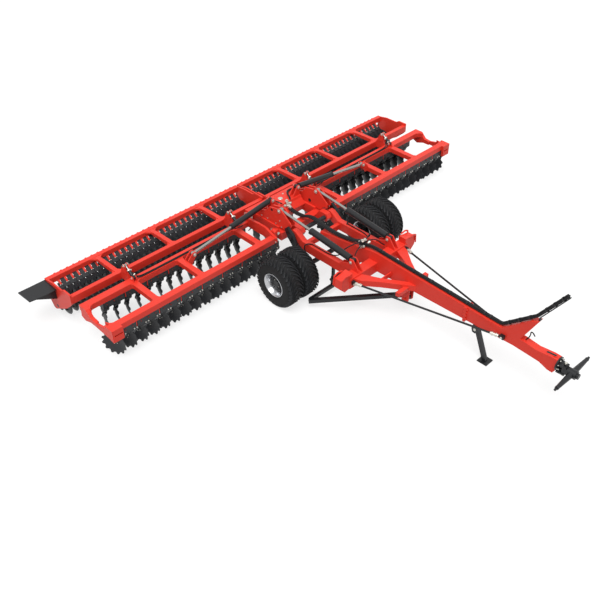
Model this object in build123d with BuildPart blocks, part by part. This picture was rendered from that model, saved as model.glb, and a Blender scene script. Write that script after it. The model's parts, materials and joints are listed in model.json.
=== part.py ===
# A large trailed disc harrow with two folding wings, standing as it parks: on its
# twin wheels, its discs, its ring rollers and its drawbar jack.
# Millimetres. X to the machine's left, Y rearwards, Z up. The origin is the middle
# of the hitch cross shaft, so every Y is a distance behind the hitch.
# Heights above the soil are turned into Z by up().
import os
from math import cos, hypot, radians, sin

from build123d import *

os.makedirs("parts", exist_ok=True)

# ---------------------------------------------------------------- driving sizes
hitch_height = 960            # cross shaft axis above the soil
running_gap = 0.4             # radial clearance of a pin or rod in its bore
side_gap = 0.5                # clearance beside an eye, a boss or a knuckle
clear = 0.3                   # clearance of pieces that seat on each other

wing_reach = 5750             # centre plane to the outer face of a wing's frame
fold_x = 900                  # fold hinge axis, off the centre plane
fold_height = 1050
tilt_y, tilt_height = 7110, 1060      # lateral shaft that the whole tool frame tilts on

# disc frame of a wing
frame_top = 980               # top of its two long beams
frame_depth = 140             # beam height
front_beam_y, front_beam_width = 7385, 170
beam_spacing = 980            # from the front face of one long beam to the other's
rear_beam_width = 185
cheek_x, cheek_width = 970, 60        # inner cheek plate that carries the fold ears
frame_cross_x = (4427, 3175, 1427)    # cross members, off the centre plane
cross_width = 150
holder_bottom = 670           # boxes under the beams that hold the disc arms
holder_half = 285             # half the length of a box for two discs

# discs
disc_radius = 305
disc_thickness = 8
disc_dish = 45                # depth of the dish
disc_yaw = 25                 # degrees off square to travel
disc_teeth = 10
disc_pitch = 300
disc_bore = 70                # radius of the flat round the hub
front_row_back, front_row_x, front_row_count = 290, 5550, 16      # back from the beam's front face
rear_row_back, rear_row_x, rear_row_count = 235, 5150, 14
centre_row_back = 195
centre_row_x = (-600, -300, 0, 300, 600)

# roller frame of a wing
hinge_to_front_beam, roller_front_width = 300, 110      # back from the depth hinge
roller_front_top, roller_front_depth = 950, 185
hinge_to_rear_beam, roller_rear_width = 1270, 120
roller_rear_top, roller_rear_depth = 900, 140
roller_before_rear = 250      # roller axis, forward of the rear beam
roller_cross_x = (4448, 2877, 1368)
roller_cross_width = 110
roller_inner_x = 20           # inner end, off the centre plane
end_plate = 40
roller_radius = 310
ring_pitch = 165
ring_width = 40
scraper_width = 95
roller_tube_radius = 110
board_reach = 670             # end board, outwards from the roller frame

# depth hinge between a wing's disc frame and its roller frame
depth_back, depth_height = 60, 860               # hinge axis, back from the rear beam
depth_x = (4400, 1330)        # brackets, off the centre plane
depth_base_in, depth_base_height = 55, 1060      # cylinder pin, back from the rear beam's front face
depth_eye_back, depth_eye_height = 80, 1260      # rod eye pin, back from the hinge axis

# chassis
beam_in, beam_out = 545, 690          # side beams, off the centre plane
beam_top, beam_depth = 1010, 235
cross_front_y, cross_rear_y = 4980, 5230
cross_reach = 1000
cross_top, cross_depth = 1040, 260
catch_reach = 1290            # outer end of the catches for the folded wings
spine_half = 90               # middle beam from the cross beam to the tie
drawbar_half, drawbar_depth = 88, 340
drawbar_top_rear, drawbar_top_front = 1285, 1170       # at the cross beam, at the foot of the fin
fin_y = 1640                  # foot of the upswept fin
flange_y = 2510
head_y = 320                  # front face of the drawbar head
jack_y, jack_height = 2215, 760

# wheels
tyre_radius = 606
rim_radius = 298
tyre_in, tyre_out = 1045, 2000
tyre_gap = 60                 # between the two tyres of a pair
axle_y = 6447
arm_in, arm_out = 730, 810

# pins of the tilt, fold and lift cylinders
tilt_cyl_x = 630
tilt_base_y, tilt_base_height = 5240, 1260
tilt_eye_y, tilt_eye_height = 7590, 1508
fold_base_x, fold_base_height = 440, 1457
fold_eye_x, fold_eye_height = 2920, 1100
fold_before_rear = 205        # fold cylinders, forward of the rear beam's front face
lift_x = 300
lift_base_y, lift_base_height = 5400, 860
lift_eye_y, lift_eye_height = 6560, 800
low_pin_y, low_pin_height = 4100, 490      # pin of the low frame under the drawbar
low_bar_y = 5840              # its cross bar, in front of the wheels
stay_radius = 23
pin_radius = 30

# places that follow from the sizes above
rear_beam_y = front_beam_y + beam_spacing
rear_beam_back = rear_beam_y + rear_beam_width
beam_bottom = frame_top - frame_depth
front_row_y = front_beam_y + front_row_back
rear_row_y = rear_beam_y + rear_row_back
depth_y = rear_beam_back + depth_back
depth_base_y = rear_beam_y + depth_base_in
depth_eye_y = depth_y + depth_eye_back
roller_front_y = depth_y + hinge_to_front_beam
roller_rear_y = depth_y + hinge_to_rear_beam
roller_y = roller_rear_y - roller_before_rear
roller_back = roller_rear_y + roller_rear_width
fold_cyl_y = rear_beam_y - fold_before_rear


def up(height):
    """Z of a height above the soil."""
    return height - hitch_height


# ---------------------------------------------------------------- shared helpers
def block(x0, x1, y0, y1, h0, h1, mode=Mode.ADD):
    """A box between two planes along each axis, heights above the soil."""
    with Locations(((x0 + x1) / 2, (y0 + y1) / 2, up((h0 + h1) / 2))):
        Box(abs(x1 - x0), abs(y1 - y0), abs(h1 - h0), mode=mode)


def lateral(y, height, x0, x1, radius, mode=Mode.ADD):
    """A round bar or hole along X."""
    with Locations(Location(((x0 + x1) / 2, y, up(height)), (0, 90, 0))):
        Cylinder(radius, abs(x1 - x0), mode=mode)


def lengthwise(x, height, y0, y1, radius, mode=Mode.ADD):
    """A round bar or hole along Y."""
    with Locations(Location((x, (y0 + y1) / 2, up(height)), (90, 0, 0))):
        Cylinder(radius, abs(y1 - y0), mode=mode)


def upright(x, y, h0, h1, radius, mode=Mode.ADD):
    """A round bar or hole along Z."""
    with Locations((x, y, up((h0 + h1) / 2))):
        Cylinder(radius, abs(h1 - h0), mode=mode)


def side_plate(x0, x1, outline, mode=Mode.ADD):
    """A plate from x0 to x1 whose outline is a list of (y, height)."""
    low, high = min(x0, x1), max(x0, x1)
    with BuildSketch(Plane.YZ.offset(low)) as profile:
        with BuildLine():
            Polyline([(y, up(h)) for y, h in outline], close=True)
        make_face()
    extrude(profile.sketch, amount=high - low, dir=(1, 0, 0), mode=mode)


def front_plate(y0, y1, outline, mode=Mode.ADD):
    """A plate from y0 to y1 whose outline is a list of (x, height)."""
    with BuildSketch(Plane.XZ.offset(-y0)) as profile:
        with BuildLine():
            Polyline([(x, up(h)) for x, h in outline], close=True)
        make_face()
    extrude(profile.sketch, amount=y1 - y0, dir=(0, 1, 0), mode=mode)


def flat_plate(h0, h1, outline, mode=Mode.ADD):
    """A plate from height h0 to h1 whose outline is a list of (x, y)."""
    with BuildSketch(Plane.XY.offset(up(h0))) as profile:
        with BuildLine():
            Polyline(outline, close=True)
        make_face()
    extrude(profile.sketch, amount=h1 - h0, dir=(0, 0, 1), mode=mode)


def bar(start, end, width, height, mode=Mode.ADD):
    """A square bar between two (x, y, height) points."""
    a = Vector(start[0], start[1], up(start[2]))
    b = Vector(end[0], end[1], up(end[2]))
    stands = hypot(b.X - a.X, b.Y - a.Y) < 1
    plane = Plane(a, x_dir=(1, 0, 0) if stands else (b - a).cross(Vector(0, 0, 1)), z_dir=b - a)
    with BuildSketch(plane) as profile:
        Rectangle(width, height)
    extrude(profile.sketch, amount=(b - a).length, dir=b - a, mode=mode)


def rod_between(start, end, radius, mode=Mode.ADD):
    """A round rod between two (x, y, height) points."""
    a = Vector(start[0], start[1], up(start[2]))
    b = Vector(end[0], end[1], up(end[2]))
    with BuildSketch(Plane(a, z_dir=b - a)) as profile:
        Circle(radius)
    extrude(profile.sketch, amount=(b - a).length, dir=b - a, mode=mode)


def save(part, name):
    part.label = name
    export_step(part, f"parts/{name}.step")


SIDES = (("right", -1), ("left", 1))

# ---------------------------------------------------------------- chassis
spine_bend_y, spine_bend_top = cross_rear_y + 570, 1155
spine_front_top = drawbar_top_rear - 25


def spine_top(y):
    """Height of the middle beam's sloping top, ahead of its bend."""
    slope = (spine_front_top - spine_bend_top) / (spine_bend_y - cross_rear_y)
    return spine_front_top - slope * (y - cross_rear_y)


with BuildPart() as chassis_frame:
    for s in (-1, 1):
        # side beam with the tilt boss at its rear end
        side_plate(s * beam_in, s * beam_out, [
            (cross_rear_y - 20, beam_top - beam_depth), (tilt_y - 350, beam_top - beam_depth),
            (tilt_y - 40, tilt_height - 125), (tilt_y + 60, tilt_height - 105), (tilt_y + 120, tilt_height - 20),
            (tilt_y + 110, tilt_height + 60), (tilt_y + 40, tilt_height + 120), (tilt_y - 60, tilt_height + 110),
            (tilt_y - 300, beam_top), (cross_rear_y - 20, beam_top)])
        # catch for the folded wing, a stout box at the end of the cross beam
        front_plate(cross_front_y + 10, cross_rear_y - 30, [
            (s * (cross_reach - 60), cross_top - cross_depth + 30), (s * (catch_reach - 130), cross_top - 270),
            (s * catch_reach, cross_top - 140), (s * (catch_reach - 10), cross_top + 90),
            (s * (cross_reach - 70), cross_top + 150)])
        # clevis of the tilt cylinder
        for off in (-1, 1):
            inner = tilt_cyl_x + off * (45 + side_gap)
            side_plate(s * inner, s * (inner + off * 25), [
                (cross_front_y + 20, cross_top - 20), (tilt_base_y + 360, beam_top - 20),
                (tilt_base_y + 340, beam_top + 60), (tilt_base_y + 90, tilt_base_height - 88),
                (tilt_base_y + 76, tilt_base_height - 60), (tilt_base_y + 55, tilt_base_height + 50),
                (tilt_base_y - 50, tilt_base_height + 55), (cross_front_y + 50, cross_top + 60)])
        lateral(tilt_base_y, tilt_base_height, s * (tilt_cyl_x - 90), s * (tilt_cyl_x + 90), pin_radius)
    block(-cross_reach, cross_reach, cross_front_y, cross_rear_y, cross_top - cross_depth, cross_top)
    # middle beam, falling towards the tie between the side beams
    tie_y = tilt_y - 370
    side_plate(-spine_half, spine_half, [
        (cross_rear_y - 10, cross_top - cross_depth + 20), (tie_y + 60, beam_top - beam_depth + 30),
        (tie_y + 60, beam_top + 10), (spine_bend_y, spine_bend_top), (cross_rear_y, spine_front_top),
        (cross_rear_y - 10, spine_front_top)])
    block(-beam_in - 5, beam_in + 5, tie_y, tie_y + 100, beam_top - beam_depth + 30, beam_top - 60)
    # lug of the lift cylinder
    for off in (-1, 1):
        block(lift_x + off * (35 + side_gap), lift_x + off * 60, cross_rear_y - 10, lift_base_y + 50,
              lift_base_height - 55, lift_base_height + 55)
    lateral(lift_base_y, lift_base_height, lift_x - 75, lift_x + 75, pin_radius - 5)
    lateral(tilt_y, tilt_height, -beam_out - 1, beam_out + 1, 55 + running_gap, mode=Mode.SUBTRACT)
save(chassis_frame.part, "chassis_frame")

with BuildPart() as pivot_shaft:
    lateral(tilt_y, tilt_height, -arm_out - 20, arm_out + 20, 55)
    for s in (-1, 1):
        lateral(tilt_y, tilt_height, s * (arm_out + side_gap), s * (arm_out + 20), 75)
save(pivot_shaft.part, "pivot_shaft")


def drawbar_top(y):
    """Height of the drawbar's sloping top at a distance behind the hitch."""
    slope = (drawbar_top_rear - drawbar_top_front) / (cross_front_y - fin_y)
    return drawbar_top_front + slope * (y - fin_y)


with BuildPart() as drawbar_rear:
    side_plate(-drawbar_half, drawbar_half, [
        (flange_y + 30, drawbar_top(flange_y) - drawbar_depth),
        (cross_front_y - clear, cross_top - cross_depth + 20), (cross_front_y - clear, drawbar_top_rear),
        (flange_y + 30, drawbar_top(flange_y + 30))])
    side_plate(-drawbar_half, drawbar_half, [
        (cross_front_y - 20, cross_top + clear), (cross_rear_y - 10 - clear, cross_top + clear),
        (cross_rear_y - 10 - clear, drawbar_top_rear - 20), (cross_front_y - 20, drawbar_top_rear)])
    block(-drawbar_half - 35, drawbar_half + 35, flange_y, flange_y + 30,
          drawbar_top(flange_y) - drawbar_depth - 35, drawbar_top(flange_y))
    for s in (-1, 1):
        # side brace, a box that runs from the cross beam's end into the drawbar
        flat_plate(cross_top - 180, cross_top - 30, [
            (s * 880, cross_front_y - clear), (s * 620, cross_front_y - clear), (s * 430, cross_front_y - 400),
            (s * 80, cross_front_y - 940), (s * 80, cross_front_y - 1150), (s * 290, cross_front_y - 869),
            (s * 540, cross_front_y - 498), (s * 817, cross_front_y - 150)])
        # hanging cheek that carries the low frame
        side_plate(s * (drawbar_half - 25), s * (drawbar_half + 5), [
            (low_pin_y - 100, 900), (low_pin_y + 160, 900), (low_pin_y + 90, low_pin_height - 60),
            (low_pin_y - 20, low_pin_height - 90), (low_pin_y - 90, low_pin_height - 30)])
        block(s * drawbar_half, s * 520, low_pin_y - 140, low_pin_y - 40, cross_top - 180, cross_top - 80)
    # rib across the openings between the braces and the drawbar
    flat_plate(cross_top - 150, cross_top - 40, [
        (-440, cross_front_y - 400), (440, cross_front_y - 400), (440, cross_front_y - 430),
        (-440, cross_front_y - 430)])
    lateral(low_pin_y, low_pin_height, -130, 130, pin_radius)
save(drawbar_rear.part, "drawbar_rear")

with BuildPart() as drawbar_front:
    top = drawbar_top_front
    bottom = drawbar_top(flange_y) - drawbar_depth
    side_plate(-drawbar_half, drawbar_half, [
        (flange_y - 30, drawbar_top(flange_y - 30)), (flange_y - 30, bottom), (fin_y - 340, bottom + 45),
        (head_y + 550, bottom + 20), (head_y + 360, bottom + 8), (head_y + 157, bottom - 70),
        (head_y + 42, bottom - 75), (head_y, bottom + 3), (head_y, top - 23), (head_y + 150, top - 20),
        (head_y + 480, top - 60), (fin_y - 524, top - 20), (fin_y - 458, top - 20),
        # upswept fin
        (fin_y - 504, top + 79), (fin_y - 631, top + 349), (fin_y - 754, top + 610), (fin_y - 588, top + 540),
        (fin_y - 395, top + 360), (fin_y - 199, top + 170), (fin_y, top)])
    block(-drawbar_half - 35, drawbar_half + 35, flange_y - 30, flange_y - clear,
          drawbar_top(flange_y) - drawbar_depth - 35, drawbar_top(flange_y - 30))
    # jack lug
    for s in (-1, 1):
        block(s * (60 + side_gap), s * 85, jack_y - 70, jack_y + 70, jack_height - 50, bottom + 30)
    lateral(jack_y, jack_height, -100, 100, pin_radius - 10)
save(drawbar_front.part, "drawbar_front")

with BuildPart() as jack_leg:
    foot_y = jack_y - 325
    bar((0, jack_y, jack_height), (0, foot_y, 20), 90, 90)
    lateral(jack_y, jack_height, -60, 60, 55)
    block(-125, 125, foot_y - 125, foot_y + 125, 0, 22)
    lateral(jack_y, jack_height, -61, 61, pin_radius - 10 + running_gap, mode=Mode.SUBTRACT)
save(jack_leg.part, "jack_leg")

with BuildPart() as hitch_flange:
    with Locations(Location((0, head_y - 15 - clear, up(1020)), (90, 0, 0))):
        Cylinder(150, 30)
    for h0, h1 in ((hitch_height - 110, hitch_height - 70), (hitch_height + 70, hitch_height + 110)):
        flat_plate(h0, h1, [(-90, head_y - 20), (90, head_y - 20), (75, 120), (-75, 120)])
    upright(0, 170, hitch_height - 135, hitch_height + 135, 35)
save(hitch_flange.part, "hitch_flange")

with BuildPart() as hitch_link:
    upright(0, 170, hitch_height - 70 + side_gap, hitch_height + 70 - side_gap, 70)
    block(-65, 65, 70, 170, hitch_height - 65, hitch_height + 65)
    lengthwise(0, hitch_height, -105, 75, 40)
    lengthwise(0, hitch_height, -150, -100, 62)
    upright(0, 170, hitch_height - 75, hitch_height + 75, 35 + running_gap, mode=Mode.SUBTRACT)
save(hitch_link.part, "hitch_link")

with BuildPart() as cross_shaft:
    lengthwise(0, hitch_height, -99, 69, 95)
    for s in (-1, 1):
        with BuildSketch(Plane.YZ.offset(s * 60)):
            Circle(66)
        with BuildSketch(Plane.YZ.offset(s * 583)):
            Circle(38)
        loft()
        lateral(0, hitch_height, s * 580, s * 640, 25.4)
    lengthwise(0, hitch_height, -100, 70, 40 + running_gap, mode=Mode.SUBTRACT)
save(cross_shaft.part, "cross_shaft")

with BuildPart() as stay_rods:
    for s in (-1, 1):
        rod_between((s * 925, cross_front_y - 40, 940), (s * 134, 1560, 1000), stay_radius)
        block(s * 890, s * 960, cross_front_y - 80, cross_front_y - clear, 895, 985)
        block(s * (drawbar_half + clear), s * 160, 1500, 1600, 955, 1045)
save(stay_rods.part, "stay_rods")

# low frame in front of the wheels: two legs from the drawbar's cheek, and a cross bar
with BuildPart() as low_frame:
    for s in (-1, 1):
        bar((0, low_pin_y + 160, low_pin_height - 15), (s * 1440, low_bar_y, 190), 95, 95)
        block(s * 600, s * 630, low_bar_y - 50, low_bar_y + 70, 200, 430)
        block(s * 585, s * 645, low_bar_y - 20, low_bar_y + 40, 370, beam_top - beam_depth - clear)
    block(-1400, 1400, low_bar_y - 40, low_bar_y + 40, 160, 240)
    lateral(low_bar_y + 10, 400, -700, 700, 35)
    block(-55, 55, low_pin_y, low_pin_y + 200, low_pin_height - 50, low_pin_height + 40)
    lateral(low_pin_y, low_pin_height, -60, 60, 60)
    lateral(low_pin_y, low_pin_height, -61, 61, pin_radius + running_gap, mode=Mode.SUBTRACT)
save(low_frame.part, "low_frame")

# hydraulic block on the middle beam and the hose bundle that runs forward from it
hose_radius = 42
valve_y = (cross_rear_y + 230, cross_rear_y + 340)
valve_top = drawbar_top_rear + 60
with BuildPart() as valve_block:
    side_plate(-70, 70, [
        (valve_y[0], valve_top), (valve_y[0], spine_top(valve_y[0]) + clear),
        (valve_y[1], spine_top(valve_y[1]) + clear), (valve_y[1], valve_top)])
save(valve_block.part, "valve_block")

hose_lift = hose_radius + 2 * clear          # rests on the drawbar's top
elbow = (960, 1865)                          # where the hoses turn steeply up
hose_end = (486, 2640)
hose_route = [
    (0, valve_y[0] - clear, valve_top - 50), (0, valve_y[0] - 60, valve_top - 50),
    (0, cross_rear_y - 30, drawbar_top_rear + 50), (0, cross_front_y, drawbar_top_rear + 50),
    (0, cross_front_y - 280, drawbar_top(cross_front_y - 280) + hose_lift),
    (0, fin_y + 26, drawbar_top(fin_y + 26) + hose_lift), (0, *elbow), (0, *hose_end)]
with BuildPart() as drawbar_hoses:
    with BuildLine() as run:
        FilletPolyline([(x, y, up(h)) for x, y, h in hose_route], radius=120)
    with BuildSketch(Plane(run.line @ 0, z_dir=run.line % 0)) as bore:
        Circle(hose_radius)
    sweep(bore.sketch, path=run.line)
save(drawbar_hoses.part, "drawbar_hoses")

# strip from the fin's tip that holds the hoses up
rise = Vector(hose_end[0] - elbow[0], hose_end[1] - elbow[1]).normalized()
near_side = Vector(-rise.Y, rise.X) * (hose_radius + 1)
far_side = Vector(-rise.Y, rise.X) * (hose_radius + 21)
fin_tip = (fin_y - 754, drawbar_top_front + 610)
fin_slope = 70 / 166
with BuildPart() as hose_arm:
    side_plate(-30, 30, [
        (hose_end[0] + far_side.X, hose_end[1] + far_side.Y), (hose_end[0] + near_side.X, hose_end[1] + near_side.Y),
        (elbow[0] + near_side.X, elbow[1] + near_side.Y), (fin_tip[0] + 40, fin_tip[1] - 40 * fin_slope + clear),
        (fin_tip[0] + 4, fin_tip[1] - 4 * fin_slope + clear), (elbow[0] + far_side.X, elbow[1] + far_side.Y)])
save(hose_arm.part, "hose_arm")

# ---------------------------------------------------------------- tilting tool frame
turret_front_y = front_beam_y + 15
turret_rear_y = rear_beam_back + 210
turret_half = 812
turret_bottom = 800
knuckle_y = (front_beam_y + 145, rear_beam_y + 125)      # middle of each fold knuckle
knuckle_half, knuckle_radius = 45, 62
ear_in, ear_out = 380, beam_in - 20           # ears on the lateral shaft
with BuildPart() as turret_frame:
    block(-turret_half, turret_half, turret_front_y, turret_front_y + 200, turret_bottom, 1010)
    block(-turret_half, turret_half, turret_rear_y - 260, turret_rear_y - 40, turret_bottom, 1080)
    for s in (-1, 1):
        # longitudinal side of the frame
        side_plate(s * 500, s * 740, [
            (turret_front_y + 180, turret_bottom + 20), (turret_rear_y - 240, turret_bottom + 20),
            (turret_rear_y - 240, 1060), (turret_front_y + 180, 1070)])
        # ear on the lateral shaft
        side_plate(s * ear_in, s * ear_out, [
            (tilt_y - 60, tilt_height - 100), (tilt_y + 40, tilt_height - 110),
            (turret_front_y + 10, turret_bottom + 30),
            (turret_front_y + 10, 1005), (tilt_y + 190, 1160), (tilt_y + 60, tilt_height + 110),
            (tilt_y - 50, tilt_height + 100), (tilt_y - 110, tilt_height)])
        # horn that takes the tilt rod: two plates, closed to a box behind the eye
        for off in (-1, 1):
            inner = tilt_cyl_x + off * (45 + side_gap)
            side_plate(s * inner, s * (inner + off * 30), [
                (turret_front_y + 10, 1060), (turret_front_y - 90, 1190), (tilt_y + 90, 1230), (tilt_y + 85, 1310),
                (tilt_eye_y - 90, tilt_eye_height + 40), (tilt_eye_y - 40, tilt_eye_height + 65),
                (tilt_eye_y + 30, tilt_eye_height + 65), (tilt_eye_y + 90, tilt_eye_height + 30),
                (tilt_eye_y + 340, tilt_eye_height - 28), (fold_cyl_y - 110, 1320), (fold_cyl_y + 40, 1270),
                (turret_rear_y - 250, 1130), (turret_rear_y - 250, 1060)])
        side_plate(s * (tilt_cyl_x - 46), s * (tilt_cyl_x + 46), [
            (tilt_eye_y + 110, 1060), (tilt_eye_y + 110, tilt_eye_height - 110), (fold_cyl_y + 40, 1240),
            (turret_rear_y - 250, 1100), (turret_rear_y - 250, 1060)])
        # knuckles of the fold hinge
        for y in knuckle_y:
            lengthwise(s * fold_x, fold_height, y - knuckle_half, y + knuckle_half, knuckle_radius)
            front_plate(y - knuckle_half, y + knuckle_half, [
                (s * (turret_half - 10), fold_height - 160), (s * (fold_x - 20), fold_height - 58),
                (s * (fold_x - 20), fold_height + 50), (s * (turret_half - 10), fold_height + 30)])
            lengthwise(s * fold_x, fold_height, y - knuckle_half - 1, y + knuckle_half + 1,
                       pin_radius + running_gap, mode=Mode.SUBTRACT)
        # clevis of the fold cylinder
        for off in (-1, 1):
            inner = fold_cyl_y + off * (45 + side_gap)
            outer = inner + off * 25
            front_plate(min(inner, outer), max(inner, outer), [
                (s * 250, 1230), (s * 480, 1230), (s * (fold_base_x + 60), fold_base_height - 20),
                (s * (fold_base_x + 40), fold_base_height + 50), (s * (fold_base_x - 30), fold_base_height + 55),
                (s * 300, 1340)])
        lengthwise(s * fold_base_x, fold_base_height, fold_cyl_y - 80, fold_cyl_y + 80, pin_radius)
    # raised middle that carries the fold cylinders
    side_plate(-505, 505, [
        (fold_cyl_y - 240, 1040), (fold_cyl_y - 120, 1180), (fold_cyl_y - 100, 1240), (fold_cyl_y + 270, 1240),
        (turret_rear_y - 100, 1075), (turret_rear_y - 240, 860), (fold_cyl_y - 190, 860)])
    lateral(tilt_y, tilt_height, -beam_in, beam_in, 55 + running_gap, mode=Mode.SUBTRACT)
save(turret_frame.part, "turret_frame")

# ---------------------------------------------------------------- discs and their holders
with BuildPart() as disc_blade:
    # notched saucer: a toothed outline that rises to the flat round the hub
    tooth = 360 / disc_teeth
    rim = []
    for n in range(disc_teeth):
        for turn, radius in ((0, disc_radius), (0.5 * tooth, disc_radius - 32)):
            a = radians(n * tooth + turn)
            rim.append((radius * cos(a), radius * sin(a)))
    with BuildSketch():
        with BuildLine():
            Polyline(rim, close=True)
        make_face()
    extrude(amount=disc_thickness)
    with BuildSketch(Plane.XY.offset(disc_thickness)):
        RegularPolygon(disc_radius * 0.72, disc_teeth)
    with BuildSketch(Plane.XY.offset(disc_dish)):
        RegularPolygon(disc_bore, disc_teeth)
    loft()


def disc_place(x, y, yaw):
    """Where a disc stands, its axis level and turned by yaw from +X."""
    return Location((x, y, up(disc_radius)), (0, 0, yaw)) * Location((0, 0, 0), (0, 90, 0))


def disc_row(positions, y, yaw):
    with BuildPart() as row:
        with Locations(*[disc_place(x, y, yaw) for x in positions]):
            add(disc_blade.part, clean=False)
    return row.part


def disc_arms(positions, y, yaw, box_y, under):
    """A clamp box under the beam for two discs, with an arm and a hub for each."""
    hub = 60                  # depth of the hub behind the disc
    arm_at = disc_dish + hub
    arm_half = 18
    beam_y = sum(box_y) / 2
    with BuildPart() as arms:
        for first in range(0, len(positions), 2):
            pair = positions[first:first + 2]
            middle = sum(pair) / len(pair)
            half = holder_half if len(pair) == 2 else holder_half / 2
            block(middle - half, middle + half, *box_y, holder_bottom, under - clear)
        for x in positions:
            base_x = x + arm_at * cos(radians(yaw))
            side_y = y + arm_at * sin(radians(yaw))
            side_plate(base_x - arm_half, base_x + arm_half, [
                (beam_y - 35, holder_bottom + 1), (beam_y + 35, holder_bottom + 1), (side_y + 40, disc_radius + 125),
                (side_y + 40, disc_radius - 40), (side_y - 40, disc_radius - 40), (side_y - 45, disc_radius + 115)])
        with BuildSketch(*[disc_place(x, y, yaw) * Location((0, 0, disc_dish + clear)) for x in positions]) as hubs:
            RegularPolygon(58, 8)
        extrude(hubs.sketch, amount=hub)
    return arms.part


centre_y = rear_beam_y + centre_row_back
centre_box = (turret_rear_y - 235, turret_rear_y - 65)
front_box = (front_beam_y, front_beam_y + front_beam_width)
rear_box = (rear_beam_y, rear_beam_back - 10)
save(disc_row(centre_row_x, centre_y, 180 - disc_yaw), "disc_row_centre")
save(disc_arms(centre_row_x, centre_y, 180 - disc_yaw, centre_box, turret_bottom), "disc_arms_centre")
for side, s in SIDES:
    front_x = [s * (front_row_x - n * disc_pitch) for n in range(front_row_count)]
    rear_x = [s * (rear_row_x - n * disc_pitch) for n in range(rear_row_count)]
    save(disc_row(front_x, front_row_y, disc_yaw), f"disc_row_front_{side}")
    save(disc_row(rear_x, rear_row_y, 180 - disc_yaw), f"disc_row_rear_{side}")
    save(disc_arms(front_x, front_row_y, disc_yaw, front_box, beam_bottom), f"disc_arms_front_{side}")
    save(disc_arms(rear_x, rear_row_y, 180 - disc_yaw, rear_box, beam_bottom), f"disc_arms_rear_{side}")

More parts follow.
